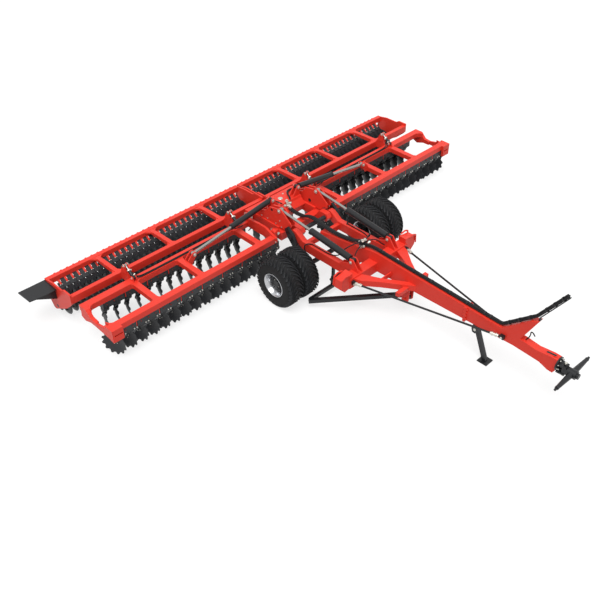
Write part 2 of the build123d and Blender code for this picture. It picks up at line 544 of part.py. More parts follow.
# ---------------------------------------------------------------- disc frames of the wings
for side, s in SIDES:
    with BuildPart() as disc_frame:
        block(s * cheek_x, s * wing_reach, front_beam_y, front_beam_y + front_beam_width, beam_bottom, frame_top)
        block(s * cheek_x, s * wing_reach, rear_beam_y, rear_beam_y + rear_beam_width, beam_bottom, frame_top)
        for x in frame_cross_x:
            block(s * (x - cross_width / 2), s * (x + cross_width / 2), front_beam_y + front_beam_width - 10,
                  rear_beam_y + 10, beam_bottom + 10, frame_top - 10)
        # strap between each two clamp boxes
        for row_x, count, box_y in ((front_row_x, front_row_count, front_box), (rear_row_x, rear_row_count, rear_box)):
            for n in range(1, count // 2):
                x = row_x + disc_pitch / 2 - 2 * n * disc_pitch
                block(s * (x - 8), s * (x + 8), box_y[0] + 5, box_y[1] - 5, holder_bottom + 30, beam_bottom + 5)
        # outer end member: a plate from the front, then a tube bowed down behind the front discs
        lower = [(front_beam_y - 70, 660), (front_beam_y + 80, 690), (front_beam_y + 565, 712)]
        bow = [(rear_beam_back - 377, 706), (rear_beam_back - 159, 628), (rear_beam_back - 20, 686),
               (rear_beam_back - 49, 903), (rear_beam_back, 950), (rear_beam_back, frame_top),
               (rear_beam_back - 250, frame_top), (rear_beam_back - 400, 830), (front_beam_y + 585, 812)]
        side_plate(s * (wing_reach - 50), s * wing_reach, lower + bow + [
            (front_beam_y + 215, 900), (front_beam_y + 215, frame_top), (front_beam_y - 70, frame_top)])
        side_plate(s * (wing_reach - 90), s * (wing_reach - 40), [(front_beam_y + 585, 712)] + bow)
        # box on the front of the beam's outer end, slotted below the beam
        block(s * (wing_reach - 270), s * (wing_reach - 10), front_beam_y - 75, front_beam_y + 1,
              beam_bottom, frame_top)
        block(s * (wing_reach - 270), s * (wing_reach - 10), front_beam_y - 75, front_beam_y - 5,
              holder_bottom - 10, beam_bottom - 35)
        block(s * (wing_reach - 270), s * (wing_reach - 250), front_beam_y - 75, front_beam_y - 5,
              holder_bottom - 10, beam_bottom + 5)
        # inner cheek, arched above the beams, with the ears of the fold hinge
        side_plate(s * cheek_x, s * (cheek_x + cheek_width), [
            (front_beam_y - 10, beam_bottom), (rear_beam_back - 20, beam_bottom), (rear_beam_back - 20, frame_top + 30),
            (rear_beam_back - 200, frame_top + 100), (rear_beam_back - 550, frame_top + 130),
            (front_beam_y + 365, frame_top + 130), (front_beam_y + 95, frame_top + 30),
            (front_beam_y - 10, frame_top)])
        for y in knuckle_y:
            for off in (-1, 1):
                near = y + off * (knuckle_half + side_gap)
                far = near + off * 28
                front_plate(min(near, far), max(near, far), [
                    (s * (cheek_x + 10), fold_height - 200), (s * (cheek_x + 10), fold_height + 30),
                    (s * (fold_x + 30), fold_height + 60), (s * (fold_x - 30), fold_height + 60),
                    (s * (fold_x - 60), fold_height + 30), (s * (fold_x - 60), fold_height - 30),
                    (s * (fold_x - 10), fold_height - 75)])
            lengthwise(s * fold_x, fold_height, y - 85, y + 85, pin_radius)
        # lug of the fold rod
        for off in (-1, 1):
            near = fold_cyl_y + off * (40 + side_gap)
            far = near + off * 25
            front_plate(min(near, far), max(near, far), [
                (s * (fold_eye_x + 190), 860), (s * (fold_eye_x + 190), fold_eye_height - 90),
                (s * (fold_eye_x + 40), fold_eye_height + 60), (s * (fold_eye_x - 40), fold_eye_height + 60),
                (s * (fold_eye_x - 60), fold_eye_height - 50), (s * (fold_eye_x + 40), fold_eye_height - 160),
                (s * (fold_eye_x + 80), 860)])
        # depth brackets: hinge ears behind the rear beam and cylinder lugs on top of it
        for x in depth_x:
            for off in (-1, 1):
                inner = x + off * (30 + side_gap)
                side_plate(s * inner, s * (inner + off * 25), [
                    (rear_beam_back - 10, beam_bottom + 12), (depth_y, depth_height - 55),
                    (depth_y + 45, depth_height - 30), (depth_y + 45, depth_height + 30),
                    (depth_y, depth_height + 55), (rear_beam_back - 10, frame_top - 20)])
                side_plate(s * inner, s * (inner + off * 20), [
                    (depth_base_y - 60, frame_top - 5), (depth_base_y + 60, frame_top - 5),
                    (depth_base_y + 40, depth_base_height + 35), (depth_base_y - 40, depth_base_height + 35)])
            lateral(depth_y, depth_height, s * (x - 70), s * (x + 70), pin_radius)
            lateral(depth_base_y, depth_base_height, s * (x - 60), s * (x + 60), 20)
    save(disc_frame.part, f"disc_frame_{side}")

# ---------------------------------------------------------------- roller frames
with BuildPart() as one_ring:
    with BuildSketch():
        RegularPolygon(roller_radius, 12)
    extrude(amount=ring_width / 2, both=True)

ring_x0 = roller_inner_x + end_plate + 60
ring_count = 1 + int((wing_reach - end_plate - 60 - ring_x0) / ring_pitch)
for side, s in SIDES:
    inner, outer = roller_inner_x, wing_reach
    reach_back = roller_front_y + roller_front_width - 10
    with BuildPart() as roller_frame:
        block(s * inner, s * outer, roller_front_y, roller_front_y + roller_front_width,
              roller_front_top - roller_front_depth, roller_front_top)
        block(s * inner, s * outer, roller_rear_y, roller_rear_y + roller_rear_width,
              roller_rear_top - roller_rear_depth, roller_rear_top)
        for x in roller_cross_x:
            side_plate(s * (x - roller_cross_width / 2), s * (x + roller_cross_width / 2), [
                (reach_back, roller_front_top - 120), (roller_y, roller_rear_top - 60),
                (roller_rear_y + 10, roller_rear_top - 45), (roller_rear_y + 10, roller_rear_top - 5),
                (roller_y, roller_rear_top + 25), (reach_back, roller_front_top - 5)])
        # end plates that carry the roller's bearings
        for x0, x1 in ((inner, inner + end_plate), (outer - end_plate, outer)):
            side_plate(s * x0, s * x1, [
                (roller_back, 885), (roller_back - 65, 345), (roller_y + 195, 165), (roller_y + 109, 155),
                (roller_front_y + 293, 479), (roller_front_y + 57, 694), (roller_front_y, 765),
                (roller_front_y, 1015), (roller_front_y + 268, 1015), (roller_front_y + 376, 949),
                (roller_back - 340, 949)])
            lateral(roller_y, roller_radius, s * (x0 - 1), s * (x1 + 1), 45 + running_gap, mode=Mode.SUBTRACT)
        # hinge brackets with the horn of the depth cylinder
        for x in depth_x:
            side_plate(s * (x - 30), s * (x + 30), [
                (depth_y - 50, depth_height - 30), (depth_y, depth_height - 55), (roller_front_y + 10, 800),
                (roller_front_y + 10, 945), (depth_eye_y + 100, depth_eye_height - 140), (depth_y + 30, 1080),
                (depth_y - 50, depth_height + 30)])
            for off in (-1, 1):
                near = x + off * (29 + side_gap)
                side_plate(s * near, s * (near + off * 18), [
                    (depth_y + 25, 1070), (depth_eye_y + 160, 1010), (depth_eye_y + 120, depth_eye_height - 110),
                    (depth_eye_y + 40, depth_eye_height + 25), (depth_eye_y - 30, depth_eye_height + 40),
                    (depth_eye_y - 45, depth_eye_height - 30)])
            lateral(depth_y, depth_height, s * (x - 31), s * (x + 31), pin_radius + running_gap, mode=Mode.SUBTRACT)
    save(roller_frame.part, f"roller_frame_{side}")

    # roller: rings on one tube between two stub shafts
    with BuildPart() as roller:
        lateral(roller_y, roller_radius, s * (inner + 2), s * (outer - 2), 45)
        lateral(roller_y, roller_radius, s * (inner + end_plate + 5), s * (outer - end_plate - 5), roller_tube_radius)
        ring_places = [Location((s * (ring_x0 + n * ring_pitch), roller_y, up(roller_radius)), (0, 90, 0))
                       for n in range(ring_count)]
        with Locations(*ring_places):
            add(one_ring.part, clean=False)
    save(roller.part, f"roller_{side}")

    # scrapers: a blade from the front of the rear beam down to each gap of the rings
    with BuildPart() as scrapers:
        for n in range(ring_count - 1):
            x = ring_x0 + (n + 0.5) * ring_pitch
            side_plate(s * (x - scraper_width / 2), s * (x + scraper_width / 2), [
                (roller_rear_y - clear, roller_rear_top - 60), (roller_rear_y - 30, roller_rear_top - 60),
                (roller_y + 150, 612), (roller_y + 162, 600), (roller_rear_y - clear, roller_rear_top - 135)])
    save(scrapers.part, f"scrapers_{side}")

# board at the outer end of the right wing
with BuildPart() as side_board:
    flat_plate(835, 860, [
        (-wing_reach - clear, roller_back - 5), (-wing_reach - board_reach, roller_back),
        (-wing_reach - board_reach + 20, roller_back - 460), (-wing_reach - 230, roller_back - 510),
        (-wing_reach - clear, roller_back - 500)])
    front_plate(roller_back - 440, roller_back - 415, [
        (-wing_reach - clear, 836), (-wing_reach - board_reach + 120, 836), (-wing_reach - clear, 560)])
save(side_board.part, "side_board")

# ---------------------------------------------------------------- wheels
axle_height = tyre_radius
axle_radius = 60
wheel_width = (tyre_out - tyre_in - tyre_gap) / 2
wheel_x = (tyre_in, tyre_in + wheel_width + tyre_gap)       # inner face of each wheel of a pair
seat_radius = rim_radius - 12


def turned(outline):
    """A ring about the wheel axle whose section is a list of (x, radius)."""
    with BuildSketch(Plane.XY.offset(up(axle_height))) as section:
        with BuildLine():
            Polyline([(x, axle_y + radius) for x, radius in outline], close=True)
        make_face()
    revolve(section.sketch, axis=Axis((0, axle_y, up(axle_height)), (1, 0, 0)))


for side, s in SIDES:
    with BuildPart() as tyres:
        for x0 in wheel_x:
            x1 = x0 + wheel_width
            turned([
                (s * (x0 + 20), seat_radius), (s * (x1 - 20), seat_radius), (s * x1, 440),
                (s * (x1 - 25), tyre_radius - 50), (s * (x1 - 90), tyre_radius), (s * (x0 + 90), tyre_radius),
                (s * (x0 + 25), tyre_radius - 50), (s * x0, 440)])
    save(tyres.part, f"tyres_{side}")

    with BuildPart() as rims:
        for x0 in wheel_x:
            x1 = x0 + wheel_width
            middle = (x0 + x1) / 2
            turned([
                (s * (x0 + 6), seat_radius - 24), (s * (x0 + 6), rim_radius), (s * (x0 + 18), rim_radius),
                (s * (x0 + 18), seat_radius - clear), (s * (x1 - 18), seat_radius - clear),
                (s * (x1 - 18), rim_radius), (s * (x1 - 6), rim_radius), (s * (x1 - 6), seat_radius - 24)])
            lateral(axle_y, axle_height, s * (middle - 8), s * (middle + 8), seat_radius - 20)
        lateral(axle_y, axle_height, s * (tyre_in + 120), s * (tyre_out - 120), 95)
        lateral(axle_y, axle_height, s * (tyre_in + 119), s * (tyre_out - 119), axle_radius + running_gap,
                mode=Mode.SUBTRACT)
    save(rims.part, f"rims_{side}")

# arms and axle that raise and lower the wheels about the lateral shaft
with BuildPart() as axle_arms:
    lateral(axle_y, axle_height, -tyre_out + 100, tyre_out - 100, axle_radius)
    for s in (-1, 1):
        side_plate(s * arm_in, s * arm_out, [
            (tilt_y + 190, tilt_height + 140), (tilt_y + 115, tilt_height + 210), (tilt_y - 70, tilt_height + 60),
            (tilt_y - 215, tilt_height - 155), (axle_y - 50, axle_height + 95), (axle_y - 110, axle_height),
            (axle_y - 55, axle_height - 80), (axle_y + 65, axle_height - 85), (tilt_y - 105, tilt_height - 260),
            (tilt_y + 75, tilt_height - 60)])
        lateral(tilt_y, tilt_height, s * (arm_in - 1), s * (arm_out + 1), 55 + running_gap, mode=Mode.SUBTRACT)
        lateral(axle_y, axle_height, s * (tyre_out - 115), s * (tyre_out - 100), 85)
        # lug of the lift rod
        side_plate(lift_x + s * (35 + side_gap), lift_x + s * 60, [
            (axle_y - 47, axle_height - 6), (axle_y + 53, axle_height - 6), (lift_eye_y + 60, lift_eye_height - 10),
            (lift_eye_y + 30, lift_eye_height + 50), (lift_eye_y - 30, lift_eye_height + 50),
            (lift_eye_y - 80, lift_eye_height - 20)])
save(axle_arms.part, "axle_arms")


# ---------------------------------------------------------------- cylinders
def on_line(start, end, s0, s1, radius, mode=Mode.ADD):
    """A round bar on the line from start to end, between two distances from start."""
    a = Vector(start[0], start[1], up(start[2]))
    way = (Vector(end[0], end[1], up(end[2])) - a).normalized()
    with BuildSketch(Plane(a + way * s0, z_dir=way)) as profile:
        Circle(radius)
    extrude(profile.sketch, amount=s1 - s0, dir=way, mode=mode)


def eye_boss(point, half, radius, sideways, mode=Mode.ADD):
    """The eye of a cylinder: a short round along X when its pin lies sideways, else along Y."""
    x, y, h = point
    if sideways:
        lateral(y, h, x - half, x + half, radius, mode=mode)
    else:
        lengthwise(x, h, y - half, y + half, radius, mode=mode)


def barrel(base, eye, sideways, pin, half, shoulder, length, radius, rod_radius, bore_from):
    on_line(base, eye, 0, shoulder + 5, half - 4)
    on_line(base, eye, shoulder, length, radius)
    eye_boss(base, half, pin + 24, sideways)
    on_line(base, eye, bore_from, length + 1, rod_radius + running_gap, mode=Mode.SUBTRACT)
    eye_boss(base, half + 1, pin + running_gap, sideways, mode=Mode.SUBTRACT)


def rod(base, eye, sideways, half, eye_radius, rod_radius, inner_end):
    reach = (Vector(*eye) - Vector(*base)).length
    on_line(base, eye, inner_end, reach - eye_radius + 10, rod_radius)
    eye_boss(eye, half, eye_radius, sideways)


tilt_ends = [((s * tilt_cyl_x, tilt_base_y, tilt_base_height), (s * tilt_cyl_x, tilt_eye_y, tilt_eye_height))
             for s in (-1, 1)]
with BuildPart() as tilt_barrels:
    for base, eye in tilt_ends:
        barrel(base, eye, True, pin_radius, 45, 90, 1350, 80, 35, 68)
save(tilt_barrels.part, "tilt_barrels")
with BuildPart() as tilt_rods:
    for base, eye in tilt_ends:
        rod(base, eye, True, 45, 60, 35, 1050)
save(tilt_rods.part, "tilt_rods")

for side, s in SIDES:
    base = (s * fold_base_x, fold_cyl_y, fold_base_height)
    eye = (s * fold_eye_x, fold_cyl_y, fold_eye_height)
    with BuildPart() as fold_barrel:
        barrel(base, eye, False, pin_radius, 45, 90, 1300, 70, 35, 150)
    save(fold_barrel.part, f"fold_barrel_{side}")
    with BuildPart() as fold_rod:
        rod(base, eye, False, 40, 50, 35, 1000)
    save(fold_rod.part, f"fold_rod_{side}")

    depth_ends = [((s * x, depth_base_y, depth_base_height), (s * x, depth_eye_y, depth_eye_height)) for x in depth_x]
    with BuildPart() as depth_barrels:
        for base, eye in depth_ends:
            barrel(base, eye, True, 20, 30, 62, 205, 38, 18, 100)
    save(depth_barrels.part, f"depth_barrels_{side}")
    with BuildPart() as depth_rods:
        for base, eye in depth_ends:
            rod(base, eye, True, 29, 32, 18, 150)
    save(depth_rods.part, f"depth_rods_{side}")

lift_base = (lift_x, lift_base_y, lift_base_height)
lift_eye = (lift_x, lift_eye_y, lift_eye_height)
with BuildPart() as lift_barrel:
    barrel(lift_base, lift_eye, True, pin_radius - 5, 35, 80, 900, 50, 25, 620)
save(lift_barrel.part, "lift_barrel")
with BuildPart() as lift_rod:
    rod(lift_base, lift_eye, True, 35, 45, 25, 700)
save(lift_rod.part, "lift_rod")
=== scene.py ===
# %% [markdown]
# A large trailed disc harrow, dressed in Blender around its CAD solids.
# The solids carry every size and every moving joint. This script keeps the steel
# frames as they are and gives them paint, then adds what the solids leave plain:
# the notched blades, the tyre tread, the ring rollers, hoses, bolts and brackets.

# %% Load the frame
import json
import math

import bpy
import bmesh
from mathutils import Matrix, Vector

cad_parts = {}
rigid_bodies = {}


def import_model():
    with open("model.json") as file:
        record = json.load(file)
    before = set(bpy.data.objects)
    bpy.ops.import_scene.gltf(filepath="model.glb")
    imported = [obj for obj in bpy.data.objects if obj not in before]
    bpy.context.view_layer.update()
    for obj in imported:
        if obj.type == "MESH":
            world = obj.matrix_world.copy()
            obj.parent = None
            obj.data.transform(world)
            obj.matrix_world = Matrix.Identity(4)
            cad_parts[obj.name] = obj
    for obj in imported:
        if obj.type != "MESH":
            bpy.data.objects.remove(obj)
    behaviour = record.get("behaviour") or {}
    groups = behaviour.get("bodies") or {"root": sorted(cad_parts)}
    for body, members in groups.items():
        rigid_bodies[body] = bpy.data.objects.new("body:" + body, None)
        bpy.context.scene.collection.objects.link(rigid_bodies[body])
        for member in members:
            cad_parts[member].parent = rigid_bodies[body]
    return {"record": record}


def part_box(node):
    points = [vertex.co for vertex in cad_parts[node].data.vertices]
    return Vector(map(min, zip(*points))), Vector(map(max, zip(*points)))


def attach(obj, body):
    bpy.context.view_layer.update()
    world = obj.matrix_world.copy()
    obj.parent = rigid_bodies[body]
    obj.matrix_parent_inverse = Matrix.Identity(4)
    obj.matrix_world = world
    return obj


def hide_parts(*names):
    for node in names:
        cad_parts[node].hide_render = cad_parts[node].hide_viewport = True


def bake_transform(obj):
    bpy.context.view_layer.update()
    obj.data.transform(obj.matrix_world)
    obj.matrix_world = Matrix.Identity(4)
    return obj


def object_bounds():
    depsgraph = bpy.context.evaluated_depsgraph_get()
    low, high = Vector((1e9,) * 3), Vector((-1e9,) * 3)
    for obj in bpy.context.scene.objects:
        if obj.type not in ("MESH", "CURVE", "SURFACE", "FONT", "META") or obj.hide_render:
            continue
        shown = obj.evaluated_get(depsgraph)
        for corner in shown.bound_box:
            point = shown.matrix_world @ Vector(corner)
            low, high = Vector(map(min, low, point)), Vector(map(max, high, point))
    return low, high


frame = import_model()
cad_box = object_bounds()
subparts = frame["record"]["subparts"]
print("solids", len(subparts), "box", cad_box)

# %% [markdown]
# The camera looks down on the machine from its right front corner. Its place is
# kept in the frame's own metres, measured back from the hitch.

# %% Camera
camera_place = Vector((-11.551, -4.04, 10.963))
azimuth, elevation, roll = map(math.radians, (44.84, 39.64, 0.21))
view_way = Vector((math.sin(azimuth) * math.cos(elevation),
    math.cos(azimuth) * math.cos(elevation), -math.sin(elevation)))
bpy.ops.object.camera_add(location=camera_place)
camera = bpy.context.object
camera.rotation_mode = "QUATERNION"
camera.rotation_quaternion = (view_way.to_track_quat("-Z", "Y")
    @ Matrix.Rotation(roll, 3, "Z").to_quaternion())
camera.data.lens = 47.35
camera.data.sensor_width = 36
camera.data.clip_end = 200
bpy.context.scene.camera = camera
print("camera", tuple(round(c, 3) for c in camera_place))

# %% [markdown]
# Each finish is a small tree of nodes, named for what it is. Colours are sRGB hex
# values, which a small function turns into the linear values that shaders use.

# %% Colour and node helpers
def colour(hex_code):
    channels = [int(hex_code[i:i + 2], 16) / 255 for i in (0, 2, 4)]
    linear = [c / 12.92 if c <= 0.04045 else ((c + 0.055) / 1.055) ** 2.4 for c in channels]
    return (*linear, 1.0)


def add_node(tree, kind, settings=(), inputs=(), links=()):
    """Add a node: settings are attributes, inputs are socket values, links join sockets."""
    node = tree.nodes.new(kind)
    for key, value in dict(settings).items():
        setattr(node, key, value)
    for key, value in dict(inputs).items():
        node.inputs[key].default_value = value
    for socket, source in links:
        tree.links.new(source, node.inputs[socket])
    return node


def new_finish(name):
    """A bare material: its node tree, the object's own coordinates and a shader."""
    finish = bpy.data.materials.new(name)
    finish.use_nodes = True
    tree = finish.node_tree
    tree.nodes.clear()
    place = add_node(tree, "ShaderNodeTexCoord").outputs["Object"]
    shader = add_node(tree, "ShaderNodeBsdfPrincipled")
    return finish, tree, place, shader


def show(tree, surface):
    add_node(tree, "ShaderNodeOutputMaterial", links=[("Surface", surface)])


# %% [markdown]
# Sprayed paint and moulded rubber are never one even tone: two close tones drift
# over them in broad clouds. Paint also dries to orange peel some 2 mm wide. That is
# too fine to show on a machine of twelve metres, so it is drawn eight times as coarse.

# %% Two-tone finish
clouds_per_metre, peel_per_metre = 1.3, 60.0  # 770 mm and 17 mm wide
peel_height = 0.002                           # metres


def two_tone(name, main, shade, roughness, coat=0.0, peel=0.02):
    finish, tree, place, shader = new_finish(name)
    clouds = add_node(tree, "ShaderNodeTexNoise",
        inputs={"Scale": clouds_per_metre, "Detail": 3.0}, links=[("Vector", place)])
    tones = add_node(tree, "ShaderNodeMix", settings={"data_type": "RGBA"},
        links=[("Factor", clouds.outputs["Fac"])])
    tones.inputs["A"].default_value = colour(main)
    tones.inputs["B"].default_value = colour(shade)
    tree.links.new(tones.outputs["Result"], shader.inputs["Base Color"])
    shader.inputs["Roughness"].default_value = roughness
    shader.inputs["Coat Weight"].default_value = coat
    shader.inputs["Coat Roughness"].default_value = 0.12
    shader.inputs["Specular IOR Level"].default_value = 0.3
    skin = add_node(tree, "ShaderNodeTexNoise",
        inputs={"Scale": peel_per_metre, "Detail": 1.0}, links=[("Vector", place)])
    bump = add_node(tree, "ShaderNodeBump", inputs={"Strength": peel, "Distance": peel_height},
        links=[("Height", skin.outputs["Fac"])])
    tree.links.new(bump.outputs["Normal"], shader.inputs["Normal"])
    show(tree, shader.outputs["BSDF"])
    return finish


# %% [markdown]
# The frames are red, all that works in the soil is dark grey, and the cylinders, the
# hitch and the stays are nearly black. One paint could be tinted for all of them, but
# each has its own gloss, so each gets its own tones and roughness.

# %% Paints
# Two-pack paint: a bright, even red with a soft sheen.
red_paint = two_tone("red two-pack paint, sprayed", "E43C2D", "DC3425", 0.45, 0.06)
# Dark grey paint on the blades and arms that work in the soil: a little duller.
grey_paint = two_tone("dark grey paint, sprayed", "2F3134", "232528", 0.5, 0.1)
# Satin black on barrels, hitch, jack and stays: nearly black, with a broad soft sheen.
black_paint = two_tone("satin black paint, sprayed", "1C1D20", "141517", 0.42, 0.15)
# Red darkened to a dull red on the bolt heads in the boxes: painted shade, with no gloss, so
# that they stay in the shade.
shade_darkened_red = two_tone("red paint darkened as painted shade", "7E2A24", "6B231F", 0.6)
print("paints", 4)

# %% [markdown]
# Rubber is black from its soot and almost without gloss. A tyre's side is darkest,
# its tread bars are scuffed to grey, and a hose has a smoother, extruded skin.

# %% Rubbers
tyre_rubber = two_tone("tyre rubber, moulded", "1B1B1C", "131314", 0.75, peel=0.2)
tread_rubber = two_tone("tyre rubber, scuffed", "26272A", "1B1C1E", 0.6, peel=0.2)
hose_rubber = two_tone("hose rubber, extruded", "17181A", "101113", 0.6, peel=0.1)
print("rubbers", 3)

# %% [markdown]
# Bare and plated metal shows its surroundings, and handling leaves a haze in patches
# as wide as a hand. So here the noise drives the roughness and the colour is even.

# %% Metals
haze_per_metre = 9.0                          # patches 110 mm wide


def plated_metal(name, main, roughness, metallic=1.0):
    finish, tree, place, shader = new_finish(name)
    haze = add_node(tree, "ShaderNodeTexNoise",
        inputs={"Scale": haze_per_metre, "Detail": 2.0}, links=[("Vector", place)])
    spread = add_node(tree, "ShaderNodeMapRange",
        inputs={"To Min": roughness * 0.8, "To Max": roughness * 1.25},
        links=[("Value", haze.outputs["Fac"])])
    tree.links.new(spread.outputs["Result"], shader.inputs["Roughness"])
    shader.inputs["Base Color"].default_value = colour(main)
    shader.inputs["Metallic"].default_value = metallic
    show(tree, shader.outputs["BSDF"])
    return finish


# Hard chrome, ground: piston rods with a clear grey shine.
rod_chrome = plated_metal("hard chrome, ground", "A3A39F", 0.25)
# Silver lacquer on the rims, polished: bright, with a reflection that follows the bowl.
rim_silver = plated_metal("silver rim lacquer, polished", "BEBFC2", 0.24, 0.94)
# Zinc plate on bolts and pins: pale, slightly yellow and satin.
zinc = plated_metal("zinc plate, passivated", "CFCDC4", 0.38, 0.85)
print("metals", 3)

# %% [markdown]
# The frames, cylinders and shafts keep their solids and only get a finish, by the
# slot that the record names. The hitch, the jack and the stays share the dark steel
# slot with the blades, but they are painted black.

# %% Dress the solids
by_slot = {"red_paint": red_paint, "dark_steel": grey_paint, "black_paint": black_paint,
    "rod_chrome": rod_chrome, "rim_paint": rim_silver, "tyre": tyre_rubber,
    "hose_rubber": hose_rubber}
painted_black = ("hitch", "cross_shaft", "jack", "stay")
for entry in subparts:
    solid = bpy.data.objects[entry["node"]]
    solid.data.materials.clear()
    black = entry["node"].startswith(painted_black)
    solid.data.materials.append(black_paint if black else by_slot[entry["material_slot"]])
RED, DARK, BLACK, ZINC = (("red_paint", red_paint), ("dark_steel", grey_paint),
    ("black_paint", black_paint), ("rod_chrome", zinc))
print("dressed", len(subparts), "solids")

# %% [markdown]
# All that follows is added in this script, so a few helpers come first. at() turns a place
# in millimetres above the soil to metres in the frame. only() and edit() choose one
# piece and open it, and pick() selects its faces, edges or corners by where they lie.

# %% Places and selection
SIDES = (("right", -1), ("left", 1))
moved, turned, sized = Matrix.Translation, Matrix.Rotation, Matrix.Scale
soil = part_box("tyres_right")[0][2]


def at(x, y, height):
    """A place from millimetres: x to the left, y rearwards, height above the soil."""
    return Vector((x / 1000, y / 1000, soil + height / 1000))


def in_mm(y, z):
    """A frame place in metres, turned back to millimetres rearwards and above the soil."""
    return y * 1000, (z - soil) * 1000


def close():
    """Leave edit mode."""
    bpy.ops.object.mode_set(mode="OBJECT")


def take_all():
    bpy.ops.mesh.select_all(action="SELECT")


def only(piece):
    if bpy.context.object and bpy.context.object.mode != "OBJECT":
        close()
    bpy.ops.object.select_all(action="DESELECT")
    piece.select_set(True)
    bpy.context.view_layer.objects.active = piece


def edit(piece):
    only(piece)
    bpy.ops.object.mode_set(mode="EDIT")


def pick(piece, kind, test):
    """In edit mode, select just the faces, edges or corners that pass a test."""
    bpy.ops.mesh.select_mode(type=kind)
    bpy.ops.mesh.select_all(action="DESELECT")
    shape = bmesh.from_edit_mesh(piece.data)
    for part in {"VERT": shape.verts, "EDGE": shape.edges, "FACE": shape.faces}[kind]:
        part.select_set(bool(test(part)))
    bmesh.update_edit_mesh(piece.data)


def shift(piece, by):
    """Move a whole mesh, so that its object stays at the origin."""
    edit(piece)
    take_all()
    bpy.ops.transform.translate(value=by)
    close()


def turn_outwards(piece):
    """Make all faces point outwards again, as after a mirrored copy."""
    edit(piece)
    take_all()
    bpy.ops.mesh.normals_make_consistent(inside=False)
    close()


def smooth(model, degrees):
    only(model)
    bpy.ops.object.shade_smooth_by_angle(angle=math.radians(degrees))


print("soil at", round(soil, 4))

# %% [markdown]
# What repeats is modelled once. repeat() gives each copy its own mesh and joins the
# copies, so that one row of bolts or blades is one piece that rides on one body.

# %% Copies
def copy_of(model):
    copied = model.copy()
    copied.data = model.data.copy()
    bpy.context.collection.objects.link(copied)
    return copied


def together(parts):
    """Join loose models to one and keep the first one's name."""
    only(parts[0])
    for part in parts:
        part.select_set(True)
    bpy.ops.object.join()
    return bpy.context.object


def repeat(model, places, name, body, look, solid=None):
    """Copies of a model as one piece on a body, with the finish of a look, in place of a solid.
    """
    slot, finish = look
    copies = []
    for place in places:
        copies.append(copy_of(model))
        copies[-1].data.transform(place)
    piece = together(copies) if len(copies) > 1 else copies[0]
    piece.name = name
    piece.data.name = name
    piece.data.materials.clear()
    piece.data.materials.append(finish)
    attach(piece, body)
    if solid:
        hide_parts(solid)
    return piece


def put_away(*models):
    for model in models:
        bpy.data.objects.remove(model, do_unlink=True)


print("ready to model")

# %% [markdown]
# Each disc is a dished steel saucer, pressed from plate. Those in front have notches
# round the rim, so that they bite into stubble and keep turning. A flat circle is
# inset once, and every second pair of its rim corners is drawn in to a notch. They
# could be cut out with cylinders, but that leaves slivers of faces round each cut.

# %% Notched blank
blade_radius, blade_steel, dish_depth, rim_forward = 0.305, 0.008, 0.073, 0.028
notches, notch_depth, hub_flat = 12, 0.034, 0.07
rim_ring = blade_radius - notch_depth - 0.012
drawn_in = (blade_radius - notch_depth) / blade_radius
bpy.ops.object.select_all(action="DESELECT")
bpy.ops.mesh.primitive_circle_add(vertices=notches * 4, radius=blade_radius, fill_type="NGON")
blade = bpy.context.object
edit(blade)
take_all()
bpy.ops.mesh.inset(thickness=blade_radius - rim_ring)


def notch_corner(corner):
    turn = math.atan2(corner.co.y, corner.co.x) / math.tau * notches * 4
    return Vector(corner.co.xy).length > rim_ring + 0.006 and round(turn) % 4 in (0, 1)


pick(blade, "VERT", notch_corner)
bpy.ops.transform.resize(value=(drawn_in,) * 3, center_override=(0, 0, 0))
print("notches", notches)

# %% [markdown]
# The dish is the cap of a large ball. More insets step towards the hub, and each ring
# of corners is pushed back by its share of the depth, as the square of its radius. A
# slice of a sphere has the same form, but its notches couldn't be drawn flat first.

# %% Dished blade
ring_radii = [rim_ring, 0.20, 0.135, hub_flat]
for outer, inner in zip(ring_radii, ring_radii[1:]):
    pick(blade, "FACE", lambda face: len(face.verts) > 4)
    bpy.ops.mesh.inset(thickness=outer - inner)
for radius in ring_radii + [0.0]:
    pick(blade, "VERT", lambda corner: abs(Vector(corner.co.xy).length - radius) < 0.02
        and corner.co.z == 0)
    rise = (radius ** 2 - hub_flat ** 2) / (blade_radius ** 2 - hub_flat ** 2)
    share = 1 if radius <= hub_flat else 1 - rise
    bpy.ops.transform.translate(value=(0, 0, max(share * dish_depth, 1e-5)))
close()
shift(blade, (0, 0, -rim_forward))
print("dish", dish_depth)

# %% [markdown]
# The rear rows carry plain blades: a copy whose notches are drawn out again. A
# Solidify modifier gives both blades the thickness of their steel.

# %% Plain blade and steel
plain_blade = copy_of(blade)
edit(plain_blade)
pick(plain_blade, "VERT", notch_corner)
bpy.ops.transform.resize(value=(1 / drawn_in, 1 / drawn_in, 1), center_override=(0, 0, 0))
for disc in (blade, plain_blade):
    only(disc)
    steel = disc.modifiers.new("steel", "SOLIDIFY")
    steel.thickness = blade_steel
    steel.offset = 1
    bpy.ops.object.modifier_apply(modifier=steel.name)
    smooth(disc, 28)
print("disc faces", len(blade.data.polygons))

# %% [markdown]
# A disc stands at an angle to the way of travel, so that it throws the soil aside.
# Each row's box says where its first disc stands and how many follow at one pitch,
# and every disc is turned a little further round its axle than the one before.

